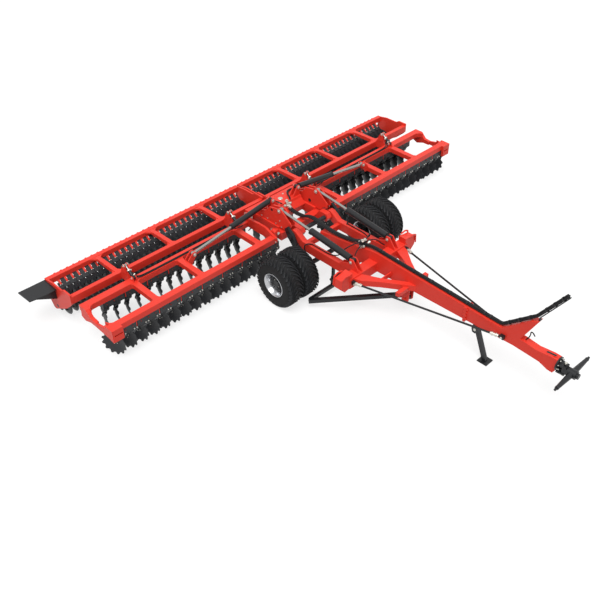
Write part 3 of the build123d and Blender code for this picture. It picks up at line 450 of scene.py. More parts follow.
# %% Rows of discs
disc_pitch, disc_yaw, next_turn = 0.3, math.radians(25), 0.7
across = blade_radius * math.sin(disc_yaw)
along = blade_radius * math.cos(disc_yaw)
ROWS = (("disc_row_front_right", "wing_right"), ("disc_row_front_left", "wing_left"),
    ("disc_row_rear_right", "wing_right"), ("disc_row_rear_left", "wing_left"),
    ("disc_row_centre", "tool_frame"))
rows = {}                     # row name: the axis frame of each disc, +Z towards its hub
for row, body in ROWS:
    low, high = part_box(row)
    front = "front" in row
    yaw = disc_yaw if front else math.pi - disc_yaw
    first, step = (low[0] + across, disc_pitch) if front else (high[0] - across, -disc_pitch)
    count = round((high[0] - low[0] - 2 * across) / disc_pitch) + 1
    upright = turned(yaw, 4, "Z") @ turned(math.pi / 2, 4, "Y")
    rows[row] = [moved((first + n * step, low[1] + along, soil + blade_radius))
        @ upright @ turned(n * next_turn, 4, "Z") for n in range(count)]
    repeat(blade if front else plain_blade, rows[row], row.replace("disc_row", "discs"), body,
        DARK, row)
    print(row, count)
put_away(blade, plain_blade)

# %% [markdown]
# Most steel here is cut from plate or turned on a lathe, so the helpers follow the
# workshop: draw() runs an outline corner by corner, as an extruded point, plate()
# pushes it to a thickness, and lathe() spins it round an axle.

# %% Plate and lathe helpers
ALONG_Z = (0, 0, 1)


def draw(corners, filled=True):
    bpy.ops.object.select_all(action="DESELECT")
    bpy.ops.mesh.primitive_plane_add(size=0.01)
    piece = bpy.context.object
    edit(piece)
    bpy.ops.mesh.select_mode(type="VERT")
    take_all()
    bpy.ops.mesh.merge(type="CENTER")
    bpy.ops.transform.translate(value=corners[0])
    for here, there in zip(corners, corners[1:]):
        bpy.ops.mesh.extrude_region_move(
            TRANSFORM_OT_translate={"value": Vector(there) - Vector(here)})
    if filled:
        take_all()
        bpy.ops.mesh.edge_face_add()
    return piece


def plate(corners, push, bevel=0.0):
    """A closed outline pushed to a plate, with its edges broken."""
    piece = draw(corners)
    take_all()
    bpy.ops.mesh.extrude_region_move(TRANSFORM_OT_translate={"value": push})
    take_all()
    bpy.ops.mesh.normals_make_consistent(inside=False)
    if bevel:
        bpy.ops.mesh.bevel(offset=bevel, segments=1)
    close()
    return piece


def side_cut(outline, wide, bevel=0.003):
    """A plate seen from the machine's side: (y, z) places, centred on x = 0."""
    return plate([(-wide / 2, y, z) for y, z in outline], (wide, 0, 0), bevel)


def lathe(profile, steps, axis=(1, 0, 0), soften=35):
    """A line of (along, radius) places, spun once round an axis through the origin."""
    along = Vector(axis)
    out = Vector((0, 0, 1)) if axis != ALONG_Z else Vector((1, 0, 0))
    piece = draw([along * a + out * r for a, r in profile], filled=False)
    take_all()
    bpy.ops.mesh.spin(steps=steps, angle=math.tau, center=(0, 0, 0), axis=axis)
    take_all()
    bpy.ops.mesh.remove_doubles(threshold=0.0004)
    bpy.ops.mesh.normals_make_consistent(inside=False)
    close()
    assert piece.data.polygons, "nothing was spun"
    if soften:
        smooth(piece, soften)
    return piece


# %% [markdown]
# Bolts hold nearly everything on this machine. One hexagon head with its washer is
# modelled about one unit across, and every bolt is a copy at its size, turned to face
# its way.

# %% Bolt head
head_radius, head_high, head_middle = 0.58, 0.6, 0.45
chamfer, washer_wider, washer_thick = 0.12, 0.35, 0.15
bpy.ops.object.select_all(action="DESELECT")
bpy.ops.mesh.primitive_cylinder_add(vertices=6, radius=head_radius, depth=head_high,
    location=(0, 0, head_middle))
bolt = bpy.context.object
edit(bolt)
pick(bolt, "FACE", lambda face: face.normal.z > 0.9)
bpy.ops.mesh.inset(thickness=chamfer)
bpy.ops.transform.translate(value=(0, 0, 0.08))
pick(bolt, "FACE", lambda face: face.normal.z < -0.9)
bpy.ops.mesh.inset(thickness=-washer_wider)
bpy.ops.mesh.extrude_region_move(TRANSFORM_OT_translate={"value": (0, 0, -washer_thick)})
only(bolt)
bpy.ops.object.transform_apply(location=True, rotation=True, scale=True)
print("bolt faces", len(bolt.data.polygons))

# %% [markdown]
# The model bolt looks up. Six turns point it to the front, the back, either side, up
# or down, so that a bolt's place can name its way instead of an angle.

# %% Ways to face
FRONT, BACK = turned(math.pi / 2, 4, "X"), turned(-math.pi / 2, 4, "X")
RIGHT, LEFT = turned(-math.pi / 2, 4, "Y"), turned(math.pi / 2, 4, "Y")
TOP, UNDER = Matrix(), turned(math.pi, 4, "X")
OUTWARDS, INWARDS = {-1: RIGHT, 1: LEFT}, {-1: LEFT, 1: RIGHT}   # by side, -1 is right


def facing(x, y, height, way, size):
    """Where a bolt of a size in millimetres sits, facing one way."""
    return moved(at(x, y, height)) @ way @ sized(size / 1000, 4)


print("ways", 6)

# %% [markdown]
# The discs hang on arms from clamp boxes under the beams. Between arm and disc sits
# a turned hub, which is shorter on the rear and middle rows.

# %% Hubs
hub_offset, rear_hub_share = 0.105, 0.6
hub = lathe([(0.044, 0.0), (0.044, 0.064), (0.054, 0.064), (0.060, 0.048), (0.080, 0.040),
    (0.106, 0.036), (0.112, 0.030), (0.114, 0.0)], 12, axis=ALONG_Z)


def named(row, kind):
    """The name of a row's piece of a kind, and of the solids that it stands for."""
    return row.replace("disc_row", kind)


def row_sizes(row):
    """How a row hangs: its solids' corners, the depth of its boxes, their middle, its hubs."""
    low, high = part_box(named(row, "disc_arms"))
    deep = 0.175 if "rear" in row else 0.17
    share = 1.0 if "front" in row else rear_hub_share
    return low, high, deep, low[1] + deep / 2, share


print("hub faces", len(hub.data.polygons))

# %% [markdown]
# An arm is one forged bar, which leans down to the axle with a soft bow and widens
# towards its head in the clamp. On the rear and middle rows a web stiffens the head.
# A bar could follow a curve, but an outline can widen where the forging is wider.

# %% Arms and their heads
arm_thick, arm_tall, bow_depth, bow_steps = 0.02, 0.37, 0.075, 8
head_outline = [(-0.055, 0.364), (-0.066, 0.315), (-0.036, 0.252), (0.030, 0.252),
    (0.060, 0.315), (0.052, 0.364)]
web_outline = [(-0.076, 0.27), (-0.060, 0.19), (-0.036, 0.10), (-0.018, 0.03),
    (0.018, 0.03), (0.036, 0.10), (0.060, 0.19), (0.076, 0.27)]
web_foot, web_lean = (0.150, 0.06), 0.83      # its place at one height, and its slope


def forged_arm(lean):
    """An arm whose foot lies a lean in metres behind its box."""
    front_edge, rear_edge = [], []
    for step in range(bow_steps + 1):
        t = step / bow_steps
        bow = bow_depth * math.sin(math.pi * t) * (1 if lean > 0.1 else 0.6)
        y, z = lean * (1 - t) ** 1.4 - bow, arm_tall * t
        half_wide = 0.022 + 0.016 * t
        front_edge.append((y - half_wide, z))
        rear_edge.append((y + half_wide, z))
    foot = [(lean - 0.02, -0.035), (lean + 0.02, -0.035)]
    return side_cut(foot + rear_edge + front_edge[::-1], arm_thick, 0.004)


for row, body in ROWS:
    low, high, deep, middle, share = row_sizes(row)
    shorter = Matrix.Diagonal((1, 1, share, 1))
    solid = named(row, "disc_arms")
    repeat(hub, [place @ shorter for place in rows[row]], named(row, "hubs"), body, DARK, solid)
    feet = [place @ Vector((0, 0, hub_offset * share)) for place in rows[row]]
    hung = [moved((foot.x, middle, soil + blade_radius)) for foot in feet]
    arm = forged_arm(feet[0].y - middle)
    repeat(arm, hung, named(row, "arms"), body, DARK, solid)
    head = side_cut(head_outline, 0.16, 0.006)
    if "front" not in row:
        web = [(x, web_foot[0] - (z - web_foot[1]) * web_lean, z) for x, z in web_outline]
        head = together([head, plate(web, (0, 0.012, 0.012), 0.003)])
    repeat(head, hung, named(row, "arm_heads"), body, DARK, solid)
    put_away(arm, head)
    print(row, len(hung), "arms")
put_away(hub)

# %% [markdown]
# One clamp box holds two arms. It is a folded steel case, so it is a block whose long
# faces are inset and pressed in. It could be folded up from sheets, but only the
# pressed faces and the broken edges show. An odd row of discs ends in a half box.

# %% Clamp boxes
box_bottom, border, pressed_in, broken = soil + 0.67, 0.016, 0.955, 0.005
pair_long, single_long = 0.57, 0.285


def box_pairs(row):
    xs = [place.translation.x for place in rows[row]]
    return [xs[n:n + 2] for n in range(0, len(xs), 2)]


for row, body in ROWS:
    low, high, deep, middle, share = row_sizes(row)
    cases = []
    for pair in box_pairs(row):
        bpy.ops.object.select_all(action="DESELECT")
        long = pair_long if len(pair) == 2 else single_long
        bpy.ops.mesh.primitive_cube_add(
            size=1, location=(sum(pair) / len(pair), middle, (box_bottom + high[2]) / 2),
            scale=(long, deep, high[2] - box_bottom - 0.0003))
        case = bpy.context.object
        only(case)
        bpy.ops.object.transform_apply(location=True, rotation=True, scale=True)
        edit(case)
        pick(case, "FACE", lambda face: abs(face.normal.y) > 0.9)
        bpy.ops.mesh.inset(thickness=border, use_individual=True)
        bpy.ops.transform.resize(value=(1, pressed_in, 1), center_override=(0, middle, 0))
        pick(case, "EDGE", lambda edge: all(
            abs(abs(v.co.y - middle) - deep / 2) < 1e-4 for v in edge.verts))
        bpy.ops.mesh.bevel(offset=broken, segments=1)
        close()
        cases.append(case)
    joined = together(cases)
    repeat(joined, [Matrix()], named(row, "clamp_boxes"), body, DARK, named(row, "disc_arms"))
    put_away(joined)
    print(row, len(cases), "boxes")

# %% [markdown]
# A pair of bolts clamps every arm on each side of its box, three more with heads in a
# darkened red of painted shade run along the box, and four stand on both sides of each
# hub's flange. Those of the rear rows lie in the shade of the beams and are painted with the
# arms.

# %% Bolts of the rows
for row, body in ROWS:
    low, high, deep, middle, share = row_sizes(row)
    front, back = low[1] * 1000, (low[1] + deep) * 1000
    heads, red_heads = [], []
    for pair in box_pairs(row):
        for y, way in ((front + 4, FRONT), (back - 4, BACK)):
            for off, size in ((0, 26), (-190, 20), (190, 20)):
                red_heads.append(facing(sum(pair) / len(pair) * 1000 + off, y, 775, way, size))
    for place in rows[row]:
        x = (place @ Vector((0, 0, hub_offset * share))).x * 1000
        for off in (-34, 34):
            heads += [facing(x + off, front + 1, 690, FRONT, 27),
                facing(x + off, back - 1, 690, BACK, 27)]
        for n in range(4):
            seat = place @ turned(n * math.pi / 2 + 0.4, 4, "Z")
            heads += [seat @ moved((0.058, 0, 0.054 * share)) @ sized(0.014, 4),
                seat @ moved((0.052, 0, 0.036 * share)) @ UNDER @ sized(0.018, 4)]
    repeat(bolt, heads, named(row, "arm_bolts"), body, ZINC if "front" in row else DARK)
    # The red bolt heads get the darkened red of painted shade.
    repeat(bolt, red_heads, named(row, "box_bolts"), body, ("red_paint", shade_darkened_red))
    print(row, len(heads), "bolts")

# %% [markdown]
# The wheels are twins with low, wide tyres. A tyre is moulded round, so its carcass is
# a cross-section spun once round the axle. A torus would be quicker, but it is too
# round for the flat crown and upright walls. Profiles are measured inwards from a side.

# %% Tyre carcass
low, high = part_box("tyres_right")
axle = Vector((0, (low[1] + high[1]) / 2, (low[2] + high[2]) / 2))
tyre_radius = (high[2] - low[2]) / 2
pair_gap, tread_high = 0.06, 0.02
half = (high[0] - low[0] - pair_gap) / 4
crown = tyre_radius - tread_high
wall = [(0.03, 0.288), (0.012, 0.335), (0.0, 0.40), (0.001, 0.46), (0.014, 0.505),
    (0.036, 0.540), (0.075, crown - 0.020)]


def inwards(end, outline):
    """A profile's (inset, radius) places, from an end on either side of the middle."""
    return [(end - math.copysign(1, end) * inset, radius) for inset, radius in outline]


top = [(-0.08, crown - 0.003), (0, crown), (0.08, crown - 0.003)]
carcass = lathe(inwards(-half, wall) + top + inwards(half, wall[::-1])
    + inwards(-half, wall[:1]), 72, soften=50)
print("tyre width", round(half * 2, 3), "radius", round(tyre_radius, 3))

# %% [markdown]
# One tread bar is drawn flat as a curved strip, pushed up to the height of the tread,
# and then rolled onto the round crown. Its mirrored copy stands half a pitch further.

# %% Tread bars
bars_round, bar_foot = 32, 0.02
bar_line = [(0.004, 0.0, 0.011), (0.05, 0.016, 0.012), (0.095, 0.050, 0.013),
    (0.14, 0.105, 0.015), (0.178, 0.172, 0.017), (half - 0.010, 0.25, 0.019)]
one_edge, other_edge = [], []                 # bar_line holds x, y and half the width
for n, (x, y, wide) in enumerate(bar_line):
    here, there = bar_line[max(n - 1, 0)], bar_line[min(n + 1, len(bar_line) - 1)]
    run = Vector((there[0] - here[0], there[1] - here[1], 0)).normalized()
    side = Vector((-run.y, run.x, 0)) * wide
    one_edge.append(Vector((min(x, half - 0.006), y, 0)) + side)
    other_edge.append(Vector((x, y, 0)) - side)
tread_bar = plate(one_edge + other_edge[::-1], (0, 0, tread_high + bar_foot))
edit(tread_bar)
pick(tread_bar, "FACE", lambda face: face.normal.z > 0.9)
bpy.ops.mesh.inset(thickness=0.005)
close()
for corner in tread_bar.data.vertices:
    x, y, z = corner.co
    x = min(max(x, 0.004), half - 0.004)
    outer = max(0.0, (x - 0.13) / (half - 0.13))
    top, under = tyre_radius - 0.052 * outer ** 2, crown - 0.03 - 0.05 * outer ** 2
    radius = top if z > bar_foot else under
    corner.co = (x, -math.sin(y / tyre_radius) * radius, math.cos(y / tyre_radius) * radius)
other_bar = copy_of(tread_bar)
edit(other_bar)
take_all()
bpy.ops.transform.resize(value=(-1, 1, 1), center_override=(0, 0, 0))
turn_outwards(tread_bar)
turn_outwards(other_bar)
print("tread bar faces", len(tread_bar.data.polygons))

# %% [markdown]
# A rim is rolled from strip and its centre is pressed to a dish, so both are turned.
# The dish of each wheel faces outwards, and eight nuts hold it.

# %% Rim and wheel centre
rim_bead = [(0.008, 0.302), (0.006, 0.286), (0.022, 0.272)]
bead_lip = [(0.03, 0.302), (0.034, 0.288)]
outer_run = rim_bead + [(0.06, 0.268), (0.085, 0.248), (0.17, 0.243), (0.20, 0.232)]
inner_run = [(0.10, 0.232), (0.06, 0.262)] + rim_bead[::-1] + bead_lip
rim = lathe(inwards(half, outer_run) + inwards(-half, inner_run)
    + inwards(half, bead_lip[::-1] + rim_bead[:1]), 64, soften=40)
centre = lathe(inwards(half, [
    (0.185, 0.0), (0.150, 0.0), (0.145, 0.05), (0.160, 0.085), (0.195, 0.095), (0.203, 0.165),
    (0.172, 0.195), (0.176, 0.240), (0.192, 0.240), (0.190, 0.20), (0.216, 0.17), (0.226, 0.0)]),
    40, soften=40)
nut_ring, nut_size, nuts_each = (half - 0.197, 0, 0.128), 0.03, 8
print("rim and centre faces", len(rim.data.polygons), len(centre.data.polygons))

# %% [markdown]
# Thirty-two bars stand round each half of a tyre, and those of the other half stand
# half a pitch further. An Array modifier could repeat them round the axle, but copies
# at worked-out turns are joined to one mesh at once, for both wheels of a side.

# %% Wheels on both sides
def round_axle(n, count):
    """The n-th of a number of equal turns round the axle."""
    return turned(math.tau * n / count, 4, "X")


for side, s in SIDES:
    low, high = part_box("tyres_" + side)
    seats = [moved((x, axle.y, axle.z)) for x in (low[0] + half, high[0] - half)]
    outwards = turned(math.pi if s < 0 else 0, 4, "Z")
    bars = [seat @ round_axle(n, bars_round) for seat in seats for n in range(bars_round)]
    half_pitch = round_axle(1, bars_round * 2)
    nuts = [seat @ outwards @ round_axle(n, nuts_each) @ moved(nut_ring) @ LEFT
        @ sized(nut_size, 4) for seat in seats for n in range(nuts_each)]
    hub_seats = [seat @ outwards for seat in seats]
    tyre, tread = ("tyre", tyre_rubber), ("tyre", tread_rubber)
    silver = ("rim_paint", rim_silver)
    for model, places, name, look, solid in (
            (carcass, seats, "carcass_", tyre, "tyres_" + side),
            (tread_bar, bars, "tread_left_", tread, "tyres_" + side),
            (other_bar, [bar @ half_pitch for bar in bars], "tread_right_", tread,
            "tyres_" + side),
            (rim, seats, "rim_barrels_", silver, "rims_" + side),
            (centre, hub_seats, "wheel_centres_", DARK, "rims_" + side),
            (bolt, nuts, "wheel_nuts_", ZINC, None)):
        repeat(model, places, name + side, "wheels_" + side, look, solid)
    print("wheels", side, len(seats))
put_away(carcass, tread_bar, other_bar, rim, centre)

# %% [markdown]
# The roller closes the machine: sharp rings on one tube press the soil into bands. A
# ring has the section of a wedge, spun once, and a flat disc carries it on the tube.

# %% Rings and tubes
low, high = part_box("roller_right")
roller_axle = Vector((0, (low[1] + high[1]) / 2, (low[2] + high[2]) / 2))
roller_radius = (high[2] - low[2]) / 2
ring_pitch, ring_first, end_gap = 0.165, 0.12, 0.045
ring = lathe([(-0.030, 0.205), (-0.024, 0.245), (-0.006, 0.301), (0.0, roller_radius),
    (0.006, 0.301), (0.024, 0.245), (0.030, 0.205), (0.022, 0.200), (-0.022, 0.200),
    (-0.030, 0.205)], 28, soften=20)
spoke = lathe([(-0.006, 0.105), (-0.006, 0.204), (0.006, 0.204), (0.006, 0.105),
    (-0.006, 0.105)], 14, soften=None)
ring = together([ring, spoke])
end_outline = [(-0.002, 0.0), (-0.002, 0.045), (0.043, 0.045), (0.043, 0.14), (0.055, 0.14),
    (0.055, 0.11)]
ring_x = {}                                   # side: where its rings stand
for side, s in SIDES:
    low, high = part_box("roller_" + side)
    near = min(abs(low[0]), abs(high[0])) - 0.022
    free = high[0] - low[0] + 0.004 - end_gap - 0.04 - ring_first
    ring_x[side] = [s * (near + ring_first + n * ring_pitch)
        for n in range(1 + int(free / ring_pitch))]
    seats = [moved((x, roller_axle.y, roller_axle.z)) for x in ring_x[side]]
    repeat(ring, seats, "rings_" + side, "roller_" + side, DARK, "roller_" + side)
    end = (high[0] - low[0] - 0.004) / 2
    tube = lathe(inwards(-end, end_outline) + inwards(end, end_outline[::-1]), 24)
    shift(tube, ((low[0] + high[0]) / 2, roller_axle.y, roller_axle.z))
    repeat(tube, [Matrix()], "roller_tube_" + side, "roller_" + side, DARK, "roller_" + side)
    put_away(tube)
    print(side, len(ring_x[side]), "rings")
put_away(ring)

# %% [markdown]
# Scrapers keep the gaps between the rings clean. A red sprung arm of bent flat bar is
# bolted to the rear beam and carries a dark blade with a narrow tooth. Guard plates
# cover the rings between. Each is an outline from the side, pushed to its width, since
# a bend is then one corner. All are measured from the beam's back at 900 mm height.

# %% Scraper models
rear_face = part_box("roller_frame_right")[1][1]
scraper_arm = side_cut([
    (0.001, -0.004), (0.032, -0.006), (0.036, -0.145), (0.010, -0.175), (-0.10, -0.180),
    (-0.225, -0.250), (-0.225, -0.222), (-0.121, -0.120), (-0.121, -0.143), (0.001, -0.143)],
    0.048)
guard_plate = side_cut([
    (-0.119, -0.110), (-0.128, -0.134), (-0.150, -0.142), (-0.300, -0.252), (-0.296, -0.264),
    (-0.145, -0.154), (-0.119, -0.142)], 0.100)
blade_top = side_cut([(-0.150, -0.178), (-0.165, -0.168), (-0.285, -0.272), (-0.270, -0.290)],
    0.150)
tooth_outline = [(-0.075, 0), (-0.070, 0.03), (-0.052, 0.09), (-0.045, 0.119),
    (0.045, 0.119), (0.052, 0.09), (0.070, 0.03), (0.075, 0)]   # (x, along)
blade_tooth = plate([(x, -0.285 - 0.503 * t, -0.272 - 0.864 * t) for x, t in tooth_outline],
    (0, 0.0104, -0.006))
blade_plate = together([blade_top, blade_tooth])
print("blade faces", len(blade_plate.data.polygons))

# %% [markdown]
# One scraper stands in every gap between two rings, and a guard over every ring but
# the outer ones. Two bolts hold each blade on its sloped seat, so they are tilted too.

# %% Scrapers on both sides
blade_tilt = turned(math.radians(41), 4, "X")
for side, s in SIDES:
    gaps = [x + s * ring_pitch / 2 for x in ring_x[side][:-1]]
    for model, xs, name, look in (
            (scraper_arm, gaps, "scraper_arms_", RED),
            (blade_plate, gaps, "scraper_blades_", DARK),
            (guard_plate, ring_x[side][1:-1], "scraper_guards_", DARK)):
        repeat(model, [moved((x, rear_face, soil + 0.9)) for x in xs], name + side,
            "roller_frame_" + side, look, "scrapers_" + side)
    bolts = []
    for x in gaps:
        bolts.append(facing(x * 1000, (rear_face + 0.030) * 1000, 830, BACK, 22))
        for off in (-0.024, 0.024):
            bolts.append(moved((x + off, rear_face - 0.215, soil + 0.9 - 0.213))
                @ blade_tilt @ sized(0.02, 4))
    repeat(bolt, bolts, "scraper_bolts_" + side, "roller_frame_" + side, ZINC)
    print(side, len(gaps), "scrapers")
put_away(scraper_arm, blade_plate, guard_plate)

# %% [markdown]
# Hydraulic cylinders do the lifting and folding. The pins that carry them end in
# zinc plated heads, and a gland closes each barrel where its rod slides out. Both are
# turned to a radius of one, then copied at size.

# %% Pin heads and glands
pin_head = lathe([(0.0, 0.0), (0.0, 1.0), (0.22, 1.0), (0.34, 0.86), (0.34, 0.42), (0.62, 0.40),
    (0.68, 0.32), (0.68, 0.0)], 16, axis=ALONG_Z)
gland = lathe([(-0.25, 1.0), (-0.25, 1.07), (0.28, 1.07), (0.36, 0.98), (0.36, 0.72),
    (0.50, 0.68), (0.50, 0.45), (-0.25, 0.45), (-0.25, 1.0)], 24, axis=ALONG_Z)


def towards(place, way, size):
    """Stand a model on a place, with its own upwards turned to a way."""
    upright = Vector(way).to_track_quat("Z", "Y").to_matrix().to_4x4()
    return moved(place) @ upright @ sized(size, 4)


def heads_at(x, y, height, along, reach, size):
    """Two pin heads on one pin: along is x or y, reach is half its length in millimetres."""
    way = Vector((1, 0, 0)) if along == "x" else Vector((0, 1, 0))
    return [towards(at(x, y, height) + way * s * reach / 1000, way * s, size / 1000)
        for s in (-1, 1)]


def gland_on(base, eye, reach, size):
    """A gland at a reach in metres from a cylinder's base towards its eye."""
    way = (eye - base).normalized()
    return towards(base + way * reach, way, size)


print("pin head faces", len(pin_head.data.polygons))

# %% [markdown]
# The places of the pins are read from the solids: an eye ends its solid, so its
# middle lies one eye's radius inside the box.

# %% Tilt cylinders
rod_high, barrel_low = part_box("tilt_rods")[1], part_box("tilt_barrels")[0]
tilt_eye = in_mm(rod_high[1] - 0.06, rod_high[2] - 0.06)
tilt_base = in_mm(barrel_low[1] + 0.054, barrel_low[2] + 0.054)
tilt_x = (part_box("tilt_barrels")[1][0] - 0.08) * 1000
frame_pins, turret_pins, tilt_glands = [], [], []
for s in (-1, 1):
    base, eye = at(s * tilt_x, *tilt_base), at(s * tilt_x, *tilt_eye)
    turret_pins += heads_at(s * tilt_x, *tilt_eye, "x", 76, 52)
    frame_pins += heads_at(s * tilt_x, *tilt_base, "x", 92, 40)
    tilt_glands.append(gland_on(base, eye, 1.335, 0.078))
repeat(pin_head, frame_pins, "chassis_pins", "chassis", ZINC)
repeat(gland, tilt_glands, "tilt_glands", "tilt_barrels", BLACK)
print("tilt pins", len(frame_pins))

# %% [markdown]
# A fold cylinder reaches from the turret to each wing. The heads of its base pin ride
# on the turret and those of its eye pin on the wing, because each goes with the plates
# that hold it. So the heads are gathered body by body and copied when all are known.

# %% Fold cylinders
wing_pins = {}                                # side: the pins that ride on its wing
for side, s in SIDES:
    low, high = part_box("fold_rod_" + side)
    eye_x = (low[0] + 0.05 if s < 0 else high[0] - 0.05) * 1000
    fold_y, eye_h = in_mm((low[1] + high[1]) / 2, low[2] + 0.05)
    low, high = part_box("fold_barrel_" + side)
    base_x = (high[0] - 0.054 if s < 0 else low[0] + 0.054) * 1000
    base_h = in_mm(0, high[2] - 0.054)[1]
    turret_pins += heads_at(base_x, fold_y, base_h, "y", 78, 44)
    wing_pins[side] = heads_at(eye_x, fold_y, eye_h, "y", 72, 46)
    base, eye = at(base_x, fold_y, base_h), at(eye_x, fold_y, eye_h)
    repeat(gland, [gland_on(base, eye, 1.29, 0.07)], "fold_gland_" + side,
        "fold_barrel_" + side, BLACK)
repeat(pin_head, turret_pins, "turret_pins", "tool_frame", ZINC)
print("turret pins", len(turret_pins))

# %% [markdown]
# Two short cylinders on each side hold the roller at its depth. The same models serve
# again at a smaller size, with their pins shared between wing and roller frame.

# %% Depth cylinders
for side, s in SIDES:
    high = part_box("depth_rods_" + side)[1]
    depth_eye = in_mm(high[1] - 0.032, high[2] - 0.032)
    low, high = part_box("depth_barrels_" + side)
    depth_base = in_mm(low[1] + 0.044, low[2] + 0.044)
    near_x, far_x = sorted((abs(low[0]) * 1000, abs(high[0]) * 1000))
    roller_pins, depth_glands = [], []
    for x in (s * (near_x + 38), s * (far_x - 38)):
        roller_pins += heads_at(x, *depth_eye, "x", 50, 40)
        wing_pins[side] += heads_at(x, *depth_base, "x", 50, 30)
        depth_glands.append(gland_on(at(x, *depth_base), at(x, *depth_eye), 0.195, 0.044))
    repeat(pin_head, wing_pins[side], "wing_pins_" + side, "wing_" + side, ZINC)
    repeat(pin_head, roller_pins, "roller_pins_" + side, "roller_frame_" + side, ZINC)
    repeat(gland, depth_glands, "depth_glands_" + side, "depth_barrels_" + side, ZINC)
    print(side, "wing pins", len(wing_pins[side]))

# %% [markdown]
# Hoses are rubber tubes that bend softly. Each is a smooth NURBS line near a few
# places with a round bevel, since tubes laid end to end would show a joint at every
# bend. Where hoses cross the fold or the tilt they ride on no body and stay where
# they are drawn.

# %% Hose helper
def hose(name, places, radius, body=None, across=None, finish=hose_rubber):
    line = bpy.data.curves.new(name, "CURVE")
    line.dimensions = "3D"
    line.bevel_depth = radius
    line.bevel_resolution = 2
    line.resolution_u = 8
    line.use_fill_caps = True
    run = line.splines.new("NURBS")
    run.points.add(len(places) - 1)
    for point, place in zip(run.points, places):
        point.co = (*place, 1)
    run.order_u = 3
    run.use_endpoint_u = True
    piece = bpy.data.objects.new(name, line)
    bpy.context.collection.objects.link(piece)
    only(piece)
    bpy.ops.object.convert(target="MESH")
    piece = bpy.context.object
    bpy.ops.object.shade_smooth()
    piece.data.materials.clear()
    piece.data.materials.append(finish)
    if across:
        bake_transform(piece)
    else:
        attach(piece, body)
    return piece


# %% [markdown]
# Six hoses run along the drawbar in one bundle, from the valve block up to the tip of
# the hose arm. Each strand is moved off the bundle's middle line at right angles to
# it, and flat bands hold the bundle together.

# %% Hose bundle on the drawbar
hose_arm_foot, hose_arm_knee = (1585, 1286), (1045, 1788)     # (y, height)
mast_foot, mast_top = (860, 2040), (486, 2640)
route = [(5460, 1295), (5400, 1295), (5300, 1318), (5200, 1336), (4980, 1334), (4820, 1324),
    (4700, 1317.5), (4000, 1293.5), (3000, 1259), (2100, 1228.5), (1800, 1218),
    (1668, 1213), hose_arm_foot, (1480, 1384), hose_arm_knee, (975, 1852), (928, 1936),
    mast_foot, mast_top]
strands = ((-27, -8), (-14, 20), (12, 22), (27, -6), (0, -24), (0, 0))   # off the middle line
for n, (across, up_by) in enumerate(strands):
    places = []
    for i, (y, h) in enumerate(route):
        before, after = route[max(i - 1, 0)], route[min(i + 1, len(route) - 1)]
        run = Vector((after[0] - before[0], after[1] - before[1])).normalized()
        places.append(at(across, y + run.y * up_by, h - run.x * up_by))
    strand = hose("strand_%d" % n, places, 0.017, "chassis")
    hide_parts("drawbar_hoses")


def band_between(here, there, share):
    """A band round the bundle, at a share of the way between two (y, height) places."""
    way = at(0, *there) - at(0, *here)
    return towards(at(0, *here) + way * share, way, 1)


band = lathe([(-0.018, 0.041), (-0.018, 0.047), (0.018, 0.047), (0.018, 0.041),
    (-0.018, 0.041)], 20, axis=ALONG_Z)
bands = [band_between(route[n], route[n + 1], share)
    for n in (4, 7, 8, 9) for share in (0, 0.5)]
bands += [band_between(hose_arm_foot, hose_arm_knee, share) for share in (0.12, 0.5, 0.88)]
bands += [band_between(mast_foot, mast_top, share) for share in (0.1, 0.45, 0.8)]
repeat(band, bands, "hose_bands", "chassis", BLACK)
put_away(band)
print("bands", len(bands))

# %% [markdown]
# Five hoses bridge the pivot to the tool frame. On each side two more cross the fold
# hinge and follow the wing, and short ones feed the cylinders. The tables hold places
# in millimetres, with x measured outwards, so that one line serves both sides.

# %% Hoses over the pivot
pivot_route = [(0.8, 5548, 1300), (0.9, 5640, 1296), (1, 5790, 1215), (1, 6300, 1135),
    (1, 6700, 1150), (1, 6930, 1190), (1, 7110, 1215), (1, 7300, 1190),
    (1, 7480, 1095), (1, 7760, 1080), (0.9, 7900, 1105), (0.7, 7960, 1130)]
bend_from, bend_to = at(0, 6900, 1200), at(0, 7320, 1200)
for n, (x, rise) in enumerate(((-46, 0), (-16, 14), (16, 12), (46, -2), (0, -18))):
    hose("pivot_hose_%d" % n, [at(x * share, y, h + rise) for share, y, h in pivot_route],
        0.019, across=("chassis", "tool_frame", bend_from, bend_to))
print("pivot hoses", n + 1)
